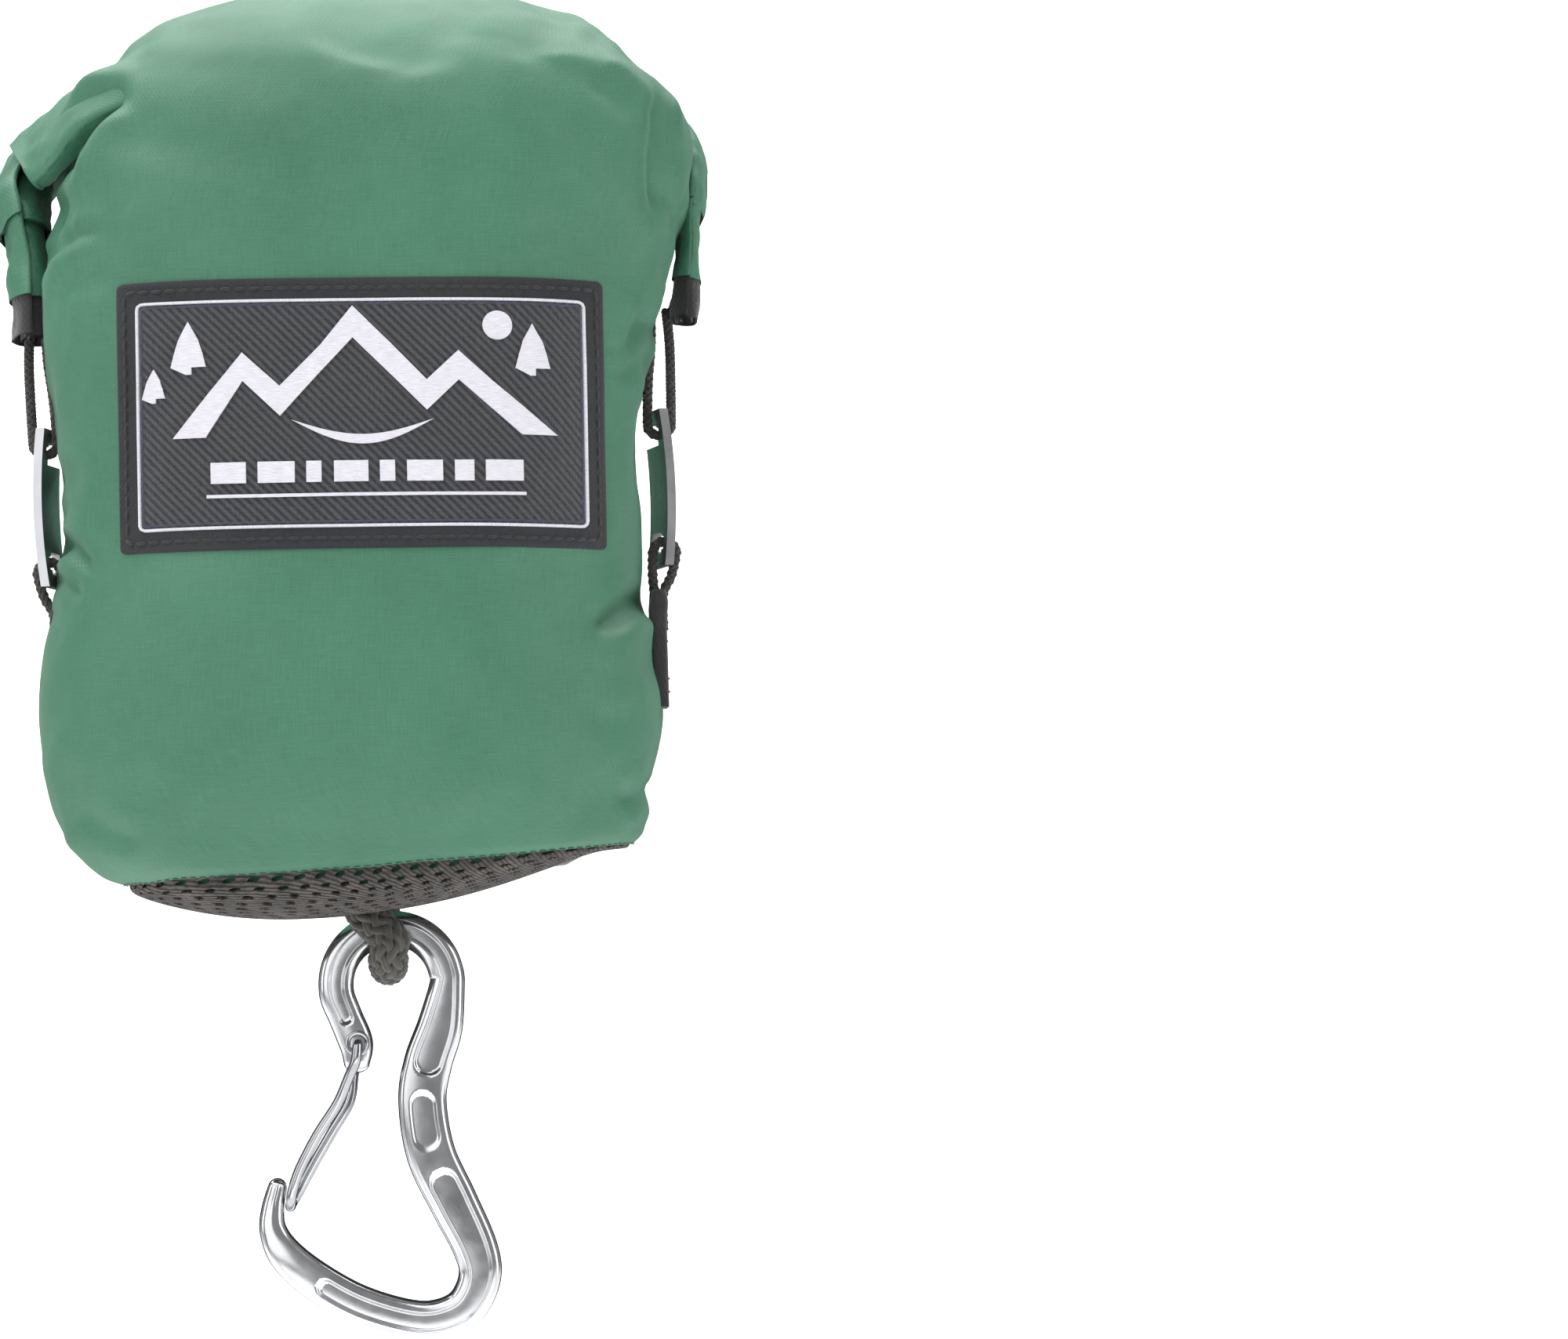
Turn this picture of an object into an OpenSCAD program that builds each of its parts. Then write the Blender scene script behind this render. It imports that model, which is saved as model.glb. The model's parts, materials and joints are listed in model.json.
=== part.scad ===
/* [Sack] */
// Width of the packed sack between its side seams
sack_w = 131; // [126:1:132]
// Depth from the sack's centre line to its front
front_depth = 45; // [42:1:48]
// Height of the dome's crown above the palm point
crown_z = 116; // [112:1:120]
// Lowest point of the mesh base below the palm point
base_drop = 90; // [88:1:92]
// Thickness of a sewn fabric wall
cloth_t = 1.0; // [0.8:0.1:1.2]

/* [Roll top] */
// Radius of the rolled closure
roll_r = 11; // [9:0.5:11]
// Height of the ears at the ends of the roll, top to tape
ear_h = 42; // [38:1:44]
// Thickness of an ear, out from the side seam
ear_t = 13; // [10:1:14]

/* [Label] */
// Width of the sewn label
label_w = 107; // [90:1:110]
// Height of the sewn label
label_h = 59; // [50:1:60]
// Width of the label's plain border
label_border = 5; // [3:0.5:8]

/* [Side fastening] */
// Diameter of the side cords
cord_d = 2.2; // [1.8:0.1:2.3]
// Length of a plate hook
hook_len = 36; // [34:1:38]
// Thickness of a plate hook
hook_t = 2; // [1.6:0.1:2.1]
// Width of a plate hook, front to back
hook_w = 15; // [15:0.5:18]
// Height of the slots in a plate hook
slot_h = 5; // [4.6:0.1:5.2]

/* [Rope and carabiner] */
// Diameter of the braided rope
rope_d = 8.2; // [7:0.1:8.2]
// Thickness of the carabiner's frame
frame_t = 9; // [8:0.5:9]
// Diameter of the gate wire
wire_d = 2.4; // [2:0.1:2.6]
// Radius of the bore that a gate wire turns in
bore_r = 1.28; // [1.28:0.01:1.35]

/* [Hidden] */

green = "seagreen";
charcoal = [0.22, 0.22, 0.24];
gap = 0.1;          // air between parts that lie against each other
big = 400;          // larger than the whole object

mid_y = -front_depth;           // the sack's centre line; its back lies on Y = 0
half_w = sack_w / 2;
back_depth = front_depth + 4;   // the palm presses this bulge flat
shoulder_z = 60;                // the dome starts here
hip_z = -55;                    // the base starts to round in here
seam_z = -79;                   // the panels end and the mesh starts here
plan_power = 2.8;               // how square the sack is from above
side_power = 2.6;               // how square its dome and base are

roll_y = -12.5;
roll_z = 97;
ear_top = 86;
ear_bottom = ear_top - ear_h;
ear_half = 12;                  // half an ear's width, front to back
tape_drop = 6;                  // the folded tape below an ear

label_z = 17;                   // the label's middle

hook_x = 70;                    // the plate's middle at its slots
hook_z = 2.5;
hook_front = 5;                 // the plate in front of its cords
slot_front = 1.7;
slot_len = 10.5;
slot_mouth = 5.5;
hook_bar = 3;                   // the plate beyond each slot
hook_turn = 12;                 // the plate's rear leans in towards the sack by this much
cord_off = hook_t / 2 + cord_d / 2 + 0.6;
tab_top = -21;
tab_h = 27;
tab_t = 4;
tab_w = 12;

port = [0.5, mid_y, -89.5];     // where the rope leaves the base, and its swing axis
port_r = 14.6;
leg_half = 6.9;                 // half the distance between the rope's legs at the base
anchor_leg = 12;                // the rope's straight legs inside the sack
eye = [4, mid_y, -108.4];       // middle of the carabiner's eye
hang_turn = 2;                  // the carabiner hangs turned by this much, its weight below the rope
spare_eye = [0, mid_y, 76];
ring_r = 12.6;                  // centre line of the ring round the eye
ring_half = 4;
edge = 1.6;                     // chamfer on the frame's edges
gate_axis = [-7.7, -13.4];      // from the eye
rope_hug = 9.6;                 // half width of the rope's bight round the ring
rope_sag = 6.8;                 // its depth

// --- shapes -------------------------------------------------------------

function sgn_pow(v, p) = sign(v) * pow(abs(v), p);
function rise(phi) = pow(sin(phi), 2 / side_power);
function reach(phi) = pow(cos(phi), 2 / side_power);

// Heights and widths of the sack's sections, grown outwards by g.
function levels(g) = concat(
    [for (phi = [87, 76, 64, 52, 40, 28, 16]) [hip_z - (hip_z + base_drop + g) * rise(phi), reach(phi)]],
    [for (i = [0:4]) [hip_z + (shoulder_z - hip_z) * i / 4, 1]],
    [for (phi = [16, 28, 40, 52, 64, 76, 87])
        [shoulder_z + (crown_z + g - shoulder_z) * rise(phi), reach(phi)]]);

function section_point(level, a, g) = [
    sgn_pow(cos(a), 2 / plan_power) * (half_w + g) * level[1],
    min(g, mid_y + sgn_pow(sin(a), 2 / plan_power)
        * ((sin(a) > 0 ? back_depth : front_depth) + g) * level[1]),
    level[0]];

// Skins a list of rings of equal count into one closed solid.
module skin(rings) {
    n = len(rings[0]);
    last = len(rings) - 1;
    polyhedron(
        points = [for (ring = rings) for (p = ring) p],
        faces = concat(
            [[for (j = [0:n - 1]) j]],
            [for (i = [0:last - 1]) for (j = [0:n - 1])
                [i * n + j, (i + 1) * n + j, (i + 1) * n + (j + 1) % n, i * n + (j + 1) % n]],
            [[for (j = [n - 1:-1:0]) last * n + j]]),
        convexity = 8);
}

module envelope(g) {
    skin([for (level = levels(g)) [for (a = [0:7.5:352.5]) section_point(level, a, g)]]);
}

module wall(outer, inner) {
    difference() {
        envelope(outer);
        envelope(inner);
    }
}

function unit(v) = v / norm(v);
function spline(p0, p1, p2, p3, t) = 0.5 * (2 * p1 + (p2 - p0) * t
    + (2 * p0 - 5 * p1 + 4 * p2 - p3) * t * t + (3 * p1 - p0 - 3 * p2 + p3) * t * t * t);

// A smooth run through every point, with a few steps between each pair.
function smooth(p, steps) = let (last = len(p) - 1) concat(
    [for (i = [0:last - 1]) for (s = [0:steps - 1])
        spline(p[max(i - 1, 0)], p[i], p[i + 1], p[min(i + 2, last)], s / steps)],
    [p[last]]);
function heading(p, i) = unit(p[min(i + 1, len(p) - 1)] - p[max(i - 1, 0)]);

// A round tube along a path; side is never parallel to the path.
module tube(path, d, sides, side) {
    skin([for (i = [0:len(path) - 1])
        let (t = heading(path, i), u = unit(side - (side * t) * t), v = cross(t, u))
        [for (k = [0:sides - 1]) path[i] + d / 2 * (cos(360 * k / sides) * u + sin(360 * k / sides) * v)]]);
}

module at(p) {
    translate(p) children();
}

module box(low, high) {
    translate(low) cube(high - low);
}

module torus(r, d, turn = 360) {
    rotate_extrude(angle = turn, $fn = 64) translate([r, 0]) circle(d = d, $fn = 32);
}

module along_x(p, r, length) {
    at(p) rotate([0, 90, 0]) cylinder(r = r, h = length, center = true, $fn = 64);
}

module along_y(x, z, r, length) {
    at([x, mid_y, z]) rotate([90, 0, 0]) cylinder(r = r, h = length, center = true, $fn = 96);
}

module mirrored(side) {
    if (side > 0) children();
    else mirror([1, 0, 0]) children();
}

// --- sack ---------------------------------------------------------------

module roll_space(clear) {
    along_x([0, roll_y, roll_z], roll_r + clear, 2 * half_w + 1);
}

module front_panel() {
    color(green) intersection() {
        wall(0, -cloth_t);
        box([-big, -big, seam_z + gap], [big, mid_y - gap, big]);
    }
}

module back_panel() {
    color(green) difference() {
        intersection() {
            wall(0, -cloth_t);
            box([-big, mid_y + gap, seam_z + gap], [big, big, big]);
        }
        roll_space(gap);
    }
}

module base_mesh() {
    color("dimgray") difference() {
        intersection() {
            wall(0, -cloth_t);
            box([-big, -big, -big], [big, big, seam_z - gap]);
        }
        at([port[0], mid_y, -base_drop - 1]) cylinder(r = port_r, h = 4, $fn = 64);
    }
}

module base_seam_tape() {
    color(charcoal) intersection() {
        wall(-cloth_t - gap, -2 * cloth_t - gap);
        box([-big, -big, seam_z - 4], [big, big, seam_z + 4]);
    }
}

module roll_top() {
    color(green) difference() {
        along_x([0, roll_y, roll_z], roll_r, 2 * half_w);
        box([-big, roll_y - 6, roll_z - 1], [big, roll_y + 6, roll_z + 1]);
    }
}

module hem_tape() {
    color(charcoal) box([-half_w, roll_y - 6 + gap, roll_z - 1 + gap],
        [half_w, roll_y + 6 - gap, roll_z + 1 - gap]);
}

// A roll end: it leaves the roll sideways, then folds down along the side seam.
module ear() {
    color(green) hull() {
        along_x([half_w + gap + 3, roll_y - 1, roll_z - 2], roll_r - 2, 6, $fn = 32);
        box([half_w + gap, mid_y - ear_half, ear_bottom + 18], [half_w + ear_t, mid_y + ear_half, ear_top]);
        box([half_w + 2, mid_y - ear_half + 2, ear_bottom],
            [half_w + ear_t - 2, mid_y + ear_half - 2, ear_top]);
    }
}

module ear_left() {
    mirrored(-1) ear();
}

module ear_right() {
    mirrored(1) ear();
}

// The hem tape's folded end: two turns with the cord sewn between them.
module ear_tape() {
    color(charcoal) for (x = [half_w + 2.5, half_w + 7])
        box([x, mid_y - 9, ear_bottom - tape_drop], [x + 4, mid_y + 9, ear_bottom]);
}

module ear_tape_left() {
    mirrored(-1) ear_tape();
}

module ear_tape_right() {
    mirrored(1) ear_tape();
}

// --- label --------------------------------------------------------------

module label_slab(low, high, w, h) {
    intersection() {
        wall(high, low);
        box([-w / 2, -big, label_z - h / 2], [w / 2, mid_y, label_z + h / 2]);
    }
}

module label_backing() {
    color(charcoal) label_slab(gap, 0.9, label_w, label_h);
}

module label_face() {
    color("dimgray") label_slab(0.9 + gap, 1.5, label_w - 2 * label_border, label_h - 2 * label_border);
}

module label_stitching() {
    color("black") difference() {
        label_slab(0.9 + gap, 1.3, label_w - 3.6, label_h - 3.6);
        box([-label_w / 2 + 2.6, -big, label_z - label_h / 2 + 2.6],
            [label_w / 2 - 2.6, mid_y, label_z + label_h / 2 - 2.6]);
    }
}

// --- side fastening -----------------------------------------------------

function bight(z, way) = [for (a = [0:30:180])
    [hook_x + cord_off * cos(a), mid_y, z - way * cord_off * sin(a)]];

tape_end = ear_bottom - tape_drop - 2 * gap;
tab_end = tab_top + 2 * gap;
upper_route = concat(
    [[hook_x + 3, mid_y, tape_end], [hook_x + 3, mid_y, tape_end - 3], [hook_x + 2.9, mid_y, 28]],
    bight(hook_z + hook_len / 2 - hook_bar - 0.1, 1),
    [[hook_x - 2, mid_y, 28], [hook_x - 0.2, mid_y, tape_end - 3], [hook_x - 0.2, mid_y, tape_end]]);
lower_route = concat(
    [[hook_x - 0.5, mid_y, tab_end], [hook_x - 0.4, mid_y, tab_end + 1.5], [hook_x + 1.6, mid_y, tab_end + 4]],
    bight(hook_z - hook_len / 2 + hook_bar + 0.1, -1),
    [[hook_x - 3, mid_y, tab_end + 4], [hook_x - 3.1, mid_y, tab_end + 1.5], [hook_x - 3.1, mid_y, tab_end]]);

module cord(route) {
    color(charcoal) tube(smooth(route, 3), cord_d, 8, [0, 1, 0]);
}

module upper_cord_left() {
    mirrored(-1) cord(upper_route);
}

module upper_cord_right() {
    mirrored(1) cord(upper_route);
}

module lower_cord_left() {
    mirrored(-1) cord(lower_route);
}

module lower_cord_right() {
    mirrored(1) cord(lower_route);
}

// A slot through the plate with eased ends. An open one runs out of the rear
// edge, and the bar above it stops short so that the cord slips off.
module hook_slot(z, open) {
    run = open ? hook_w : slot_len;
    box([hook_x - 10, mid_y - slot_front + 1.5, z - slot_h / 2],
        [hook_x + 10, mid_y - slot_front + run - (open ? 0 : 1.5), z + slot_h / 2]);
    box([hook_x - 10, mid_y - slot_front, z - slot_h / 2 + 1],
        [hook_x + 10, mid_y - slot_front + run, z + slot_h / 2 - 1]);
    if (open) box([hook_x - 10, mid_y + slot_mouth, z],
        [hook_x + 10, mid_y + hook_w, z + slot_h / 2 + hook_bar + 1]);
}

module hook() {
    bow = 135;       // radius that the plate is bent to
    bulge = 0.9;     // its middle stands this far outside its slots
    color("silver") difference() {
        intersection() {
            difference() {
                along_y(hook_x + bulge - bow, hook_z, bow + hook_t / 2, 60);
                along_y(hook_x + bulge - bow, hook_z, bow - hook_t / 2, 62);
            }
            box([hook_x - 10, mid_y - hook_front, hook_z - hook_len / 2],
                [hook_x + 10, mid_y - hook_front + hook_w, hook_z + hook_len / 2]);
        }
        hook_slot(hook_z + hook_len / 2 - hook_bar - slot_h / 2, true);
        hook_slot(hook_z - hook_len / 2 + hook_bar + slot_h / 2, false);
    }
}

module hook_in_place() {
    at([hook_x, mid_y, 0]) rotate([0, 0, hook_turn]) at([-hook_x, -mid_y, 0]) hook();
}

module hook_left() {
    mirrored(-1) hook_in_place();
}

module hook_right() {
    mirrored(1) hook_in_place();
}

module side_tab() {
    color(charcoal) box([half_w + gap, mid_y - tab_w / 2, tab_top - tab_h],
        [half_w + gap + tab_t, mid_y + tab_w / 2, tab_top]);
}

module side_tab_left() {
    mirrored(-1) side_tab();
}

module side_tab_right() {
    mirrored(1) side_tab();
}

// --- packed hammock -----------------------------------------------------

module hammock_bundle() {
    color("darkseagreen") difference() {
        envelope(-2 * cloth_t - 3 * gap);
        roll_space(3 * gap);
        box([port[0] - 15, mid_y - 14, -big], [port[0] + 15, mid_y + 14, -57]);
        box([-31, mid_y - 8, -8], [28, mid_y + 8, 95]);
        box([-13, mid_y - 15, 72], [13, mid_y + 15, 109]);
    }
}

module anchor_rope(d) {
    at([port[0], mid_y, -70]) {
        rotate([90, 0, 90]) torus(leg_half, d, 180);
        for (side = [-1, 1]) at([0, side * leg_half, -anchor_leg]) cylinder(d = d, h = anchor_leg, $fn = 32);
    }
}

module rope_anchor() {
    color("darkolivegreen") anchor_rope(rope_d);
}

module end_gather() {
    color("darkseagreen") difference() {
        box([port[0] - 14, mid_y - 13, -77], [port[0] + 14, mid_y + 13, -58]);
        anchor_rope(rope_d + 0.4);
    }
}

module spare_rope_loop(clear = 0) {
    color("darkolivegreen") at(spare_eye + [0, 0, ring_r]) rotate([0, 90, 0]) torus(10, rope_d + clear);
}

module spare_gather() {
    color("darkseagreen") difference() {
        box([-12, mid_y - 13, 97], [12, mid_y + 13, 108]);
        spare_rope_loop(0.4);
    }
}

// --- rope loop and carabiner --------------------------------------------

// The bight hugs the ring: a squarish half round, open at the top.
function hug(a) = [eye[0] - 0.8, mid_y + rope_hug * sgn_pow(cos(a), 2 / 2.5),
    eye[2] + 4 + rope_sag * (1 - sgn_pow(sin(a), 2 / 2.5))];
rope_route = concat([port + [0, -leg_half, 0], port + [1.4, -leg_half - 2.3, -3.2]],
    [for (a = [180:-18:0]) hug(a)],
    [port + [1.4, leg_half + 2.3, -3.2], port + [0, leg_half, 0]]);

module rope_loop() {
    color("darkolivegreen") tube(smooth(rope_route, 2), rope_d, 12, [1, 0, 0]);
}

// The frame's centre line from the hinge block over the ring and down the
// spine to the nose: across, up, half width, thickness.
arm = [[-7.9, -17.8, 3.0, frame_t], [-8.1, -13.4, 3.9, frame_t], [-10.4, -7.6, 3.9, frame_t]];
ring = [for (a = [195:-13:0]) [ring_r * cos(a), ring_r * sin(a), ring_half, frame_t]];
spine = [[10.9, -9.8, 5.2, frame_t], [8.2, -18, 5.5, frame_t], [6.9, -26.6, 5.5, frame_t],
    [8.8, -38.5, 5.6, frame_t], [13.9, -49.5, 5.5, frame_t], [18.8, -59.9, 5.1, frame_t]];
basket = [[19.8, -66.6, 4.8, frame_t], [16.6, -73.2, 4.6, frame_t], [10.4, -76.1, 4.5, frame_t],
    [3.1, -75.8, 4.4, frame_t], [-7.7, -72.4, 4.4, frame_t], [-17.1, -67, 4.3, frame_t],
    [-23.8, -61.2, 3.9, frame_t - 0.5]];
nose = [[-26.8, -55.6, 3.1, frame_t - 2], [-26.9, -50.6, 2.6, frame_t - 3], [-25.9, -46, 2.2, frame_t - 4]];
frame_run = smooth(concat(arm, ring, spine, basket, nose), 2);

function flat_heading(i) = let (p = frame_run, d = p[min(i + 1, len(p) - 1)] - p[max(i - 1, 0)])
    unit([d[0], d[1]]);
function frame_ring(i) = let (p = frame_run[i], t = flat_heading(i), w = p[2], h = p[3] / 2) [
    for (q = [[w, h - edge], [w - edge, h], [edge - w, h], [-w, h - edge],
        [-w, edge - h], [edge - w, -h], [w - edge, -h], [w, edge - h]])
        [p[0] - t[1] * q[0], q[1], p[1] + t[0] * q[0]]];

module frame_body() {
    color("silver") difference() {
        skin([for (i = [len(frame_run) - 1:-1:0]) frame_ring(i)]);
        at([gate_axis[0], 0, gate_axis[1]]) rotate([90, 0, 0])
            cylinder(r = bore_r, h = frame_t + 4, center = true, $fn = 32);
    }
}

// One leg of the gate wire from its pivot to the nose: across, out, up.
gate_out = frame_t / 2 + wire_d / 2 + 0.2;
gate_leg = [[gate_axis[0], gate_out, gate_axis[1]], [-8.2, gate_out, -17.4], [-9.2, gate_out - 1.2, -21],
    [-11, 3.4, -27], [-15.3, 3, -34], [-19.4, 2.8, -41.5], [-21.6, 2.6, -46.5], [-22.6, 2, -49.2]];
gate_part = [0, 0, 0.5, 1.3, 1.5, 1.3, 0.8, 0.2];   // how far the two legs lie apart sideways
gate_route = concat(
    [for (i = [0:len(gate_leg) - 1]) let (p = gate_leg[i]) [p[0] - gate_part[i], -p[1], p[2]]],
    [[-22.9, 0, -50.2]],
    [for (i = [len(gate_leg) - 1:-1:0]) let (p = gate_leg[i]) [p[0] + gate_part[i], p[1], p[2]]]);

module gate_body() {
    color("gainsboro") {
        tube(smooth(gate_route, 2), wire_d, 10, [0.92, 0, -0.38]);
        for (side = [-1, 1]) at([gate_axis[0], side * (gate_out - 1.6), gate_axis[1]]) rotate([90, 0, 0])
            cylinder(d = wire_d, h = gate_out, center = true, $fn = 32);
    }
}

module hung() {
    at(eye) rotate([0, hang_turn, 0]) children();
}

module carabiner_frame() {
    hung() frame_body();
}

module carabiner_gate() {
    hung() gate_body();
}

module spare_carabiner_frame() {
    at(spare_eye) frame_body();
}

module spare_carabiner_gate() {
    at(spare_eye) gate_body();
}

front_panel();
back_panel();
base_mesh();
base_seam_tape();
roll_top();
hem_tape();
ear_left();
ear_right();
ear_tape_left();
ear_tape_right();
label_backing();
label_face();
label_stitching();
upper_cord_left();
upper_cord_right();
hook_left();
hook_right();
lower_cord_left();
lower_cord_right();
side_tab_left();
side_tab_right();
hammock_bundle();
end_gather();
rope_anchor();
rope_loop();
carabiner_frame();
carabiner_gate();
spare_gather();
spare_rope_loop();
spare_carabiner_frame();
spare_carabiner_gate();
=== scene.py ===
import bpy
import bmesh
import json
import math
import numpy as np
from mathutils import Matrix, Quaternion, Vector, noise
from mathutils.bvhtree import BVHTree

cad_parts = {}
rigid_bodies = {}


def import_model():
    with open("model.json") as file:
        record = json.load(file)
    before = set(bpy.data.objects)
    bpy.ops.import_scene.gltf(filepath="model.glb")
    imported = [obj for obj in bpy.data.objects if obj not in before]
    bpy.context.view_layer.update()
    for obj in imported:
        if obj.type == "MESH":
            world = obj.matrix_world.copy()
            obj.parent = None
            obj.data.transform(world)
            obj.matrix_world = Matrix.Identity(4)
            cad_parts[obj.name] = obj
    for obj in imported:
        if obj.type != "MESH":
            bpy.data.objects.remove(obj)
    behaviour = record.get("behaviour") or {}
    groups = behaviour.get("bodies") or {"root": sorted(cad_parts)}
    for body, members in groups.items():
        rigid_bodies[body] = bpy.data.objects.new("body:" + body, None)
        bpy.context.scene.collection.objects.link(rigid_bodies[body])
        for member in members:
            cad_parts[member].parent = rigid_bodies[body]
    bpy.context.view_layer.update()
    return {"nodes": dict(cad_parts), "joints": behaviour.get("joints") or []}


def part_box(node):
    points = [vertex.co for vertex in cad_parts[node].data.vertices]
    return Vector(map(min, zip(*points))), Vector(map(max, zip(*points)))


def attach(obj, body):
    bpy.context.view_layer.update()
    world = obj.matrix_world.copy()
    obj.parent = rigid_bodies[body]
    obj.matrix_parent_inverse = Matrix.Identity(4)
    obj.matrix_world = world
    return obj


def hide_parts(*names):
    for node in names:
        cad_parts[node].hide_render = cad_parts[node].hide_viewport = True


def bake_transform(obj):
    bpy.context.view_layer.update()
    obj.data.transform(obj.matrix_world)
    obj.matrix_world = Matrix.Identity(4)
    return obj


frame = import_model()

mm = 0.001
joints = {joint["name"]: joint for joint in frame["joints"]}
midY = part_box("front_panel")[1].y          # the side seams' plane
eye = Vector(joints["carabiner_swing"]["pos_m"])
port = Vector(joints["rope_swing"]["pos_m"])
gatePivot = Vector(joints["gate_open"]["pos_m"])

# ---- camera ----
cameraSetup = {
    "distance": 1.1,
    "height": -0.100,                # below the sack's middle, so the base shows
    "frameWidth": 0.360,             # what the frame spans at the sack
    "sackInFrame": (-0.2725, 0.102),  # the sack's middle, in frame widths from the centre
    "roll": 2.0,
    "sensor": 36.0,
}


def makeCamera(s):
    data = bpy.data.cameras.new("camera")
    camera = bpy.data.objects.new("camera", data)
    bpy.context.scene.collection.objects.link(camera)
    target = Vector((0, midY, 0))
    place = Vector((0, midY - s["distance"], s["height"]))
    aim = target - place
    data.sensor_width = s["sensor"]
    data.lens = s["sensor"] * aim.length / s["frameWidth"]
    across, up = [part * s["frameWidth"] / aim.length for part in s["sackInFrame"]]
    offset = Vector((across, up, -1)).rotation_difference(Vector((0, 0, -1)))
    level = aim.to_track_quat("-Z", "Y")
    camera.location = place
    camera.rotation_mode = "QUATERNION"
    camera.rotation_quaternion = level @ Quaternion((0, 0, 1), math.radians(-s["roll"])) @ offset
    data.clip_start = 0.01
    data.clip_end = 20
    bpy.context.scene.camera = camera


makeCamera(cameraSetup)
print("camera ready")


# ---- mesh helpers ----
def smoothRun(points, steps):
    # a smooth curve through every point
    p = np.asarray(points, float)
    last = len(p) - 1
    run = []
    for i in range(last):
        p0, p1, p2, p3 = p[max(i - 1, 0)], p[i], p[i + 1], p[min(i + 2, last)]
        for k in range(steps):
            t = k / steps
            run.append(0.5 * (2 * p1 + (p2 - p0) * t + (2 * p0 - 5 * p1 + 4 * p2 - p3) * t * t
                              + (3 * p1 - p0 - 3 * p2 + p3) * t ** 3))
    run.append(p[last])
    return np.array(run)


def smoothStep(low, high, value):
    t = np.clip((value - low) / (high - low), 0, 1)
    return t * t * (3 - 2 * t)


def meshObject(name, verts, faces, uvs=None, smooth=True):
    mesh = bpy.data.meshes.new(name)
    mesh.from_pydata([tuple(v) for v in verts], [], [tuple(f) for f in faces])
    if uvs is not None:
        layer = mesh.uv_layers.new(name="lay")
        perVertex = len(uvs) == len(mesh.vertices)
        corners = [uvs[loop.vertex_index] for loop in mesh.loops] if perVertex else uvs
        layer.data.foreach_set("uv", np.array(corners, np.float32).ravel())
    mesh.polygons.foreach_set("use_smooth", [smooth] * len(mesh.polygons))
    mesh.update()
    obj = bpy.data.objects.new(name, mesh)
    bpy.context.scene.collection.objects.link(obj)
    return obj


def gridMesh(name, points, closedAcross=False, closedAlong=False, caps=False, flip=False):
    # points: rows x columns x 3; UVs are run lengths in metres
    rows, cols = points.shape[:2]
    verts = points.reshape(-1, 3)
    acrossStep = np.linalg.norm(np.diff(np.concatenate([points, points[:, :1]], 1), axis=1), axis=2)
    across = np.concatenate([np.zeros((rows, 1)), np.cumsum(acrossStep, 1)], 1)
    alongStep = np.linalg.norm(np.diff(np.concatenate([points, points[:1]], 0), axis=0), axis=2).mean(1)
    along = np.concatenate([[0], np.cumsum(alongStep)])
    faces, uvs = [], []
    for i in range(rows if closedAlong else rows - 1):
        for j in range(cols if closedAcross else cols - 1):
            i2, j2 = (i + 1) % rows, (j + 1) % cols
            face = [i * cols + j, i * cols + j2, i2 * cols + j2, i2 * cols + j]
            uv = [(across[i, j], along[i]), (across[i, j + 1], along[i]),
                  (across[i2, j + 1], along[i + 1]), (across[i2, j], along[i + 1])]
            faces.append(face[::-1] if flip else face)
            uvs += uv[::-1] if flip else uv
    for start, turned in ((0, not flip), ((rows - 1) * cols, flip)) if caps else ():
        ring = list(range(start, start + cols))
        faces.append(ring[::-1] if turned else ring)
        uvs += [(0, 0)] * cols
    return meshObject(name, verts, faces, uvs)


def pathFrames(path, side):
    path = np.asarray(path, float)
    heading = np.gradient(path, axis=0)
    heading /= np.linalg.norm(heading, axis=1)[:, None]
    side = np.broadcast_to(np.asarray(side, float), path.shape)
    first = side - (side * heading).sum(1)[:, None] * heading
    first /= np.linalg.norm(first, axis=1)[:, None]
    return heading, first, np.cross(heading, first)


def lengthAlong(path):
    return np.concatenate([[0], np.cumsum(np.linalg.norm(np.diff(path, axis=0), axis=1))])


def evenRun(path, count):
    run = lengthAlong(path)
    at = np.linspace(0, run[-1], count)
    return np.stack([np.interp(at, run, path[:, k]) for k in range(3)], 1)


def useModifier(obj, kind, **values):
    modifier = obj.modifiers.new(kind.lower(), kind)
    for key, value in values.items():
        setattr(modifier, key, value)


def applyAll(obj):
    # turns what the modifiers make into the object's own mesh
    graph = bpy.context.evaluated_depsgraph_get()
    mesh = bpy.data.meshes.new_from_object(obj.evaluated_get(graph), preserve_all_data_layers=True, depsgraph=graph)
    obj.modifiers.clear()
    obj.data = mesh


def joinPieces(name, objects):
    for o in bpy.context.view_layer.objects:
        o.select_set(False)
    for o in objects:
        o.select_set(True)
    bpy.context.view_layer.objects.active = objects[0]
    bpy.ops.object.join()
    objects[0].name = name
    return objects[0]


def paint(obj, material):
    obj.data.materials.clear()
    obj.data.materials.append(material)


def finishPiece(obj, material, body, slot, *nodes):
    paint(obj, material)
    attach(obj, body)
    if nodes:
        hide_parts(*nodes)


def facesOut(obj):
    mesh = bmesh.new()
    mesh.from_mesh(obj.data)
    bmesh.ops.recalc_face_normals(mesh, faces=mesh.faces)
    mesh.to_mesh(obj.data)
    mesh.free()


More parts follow.
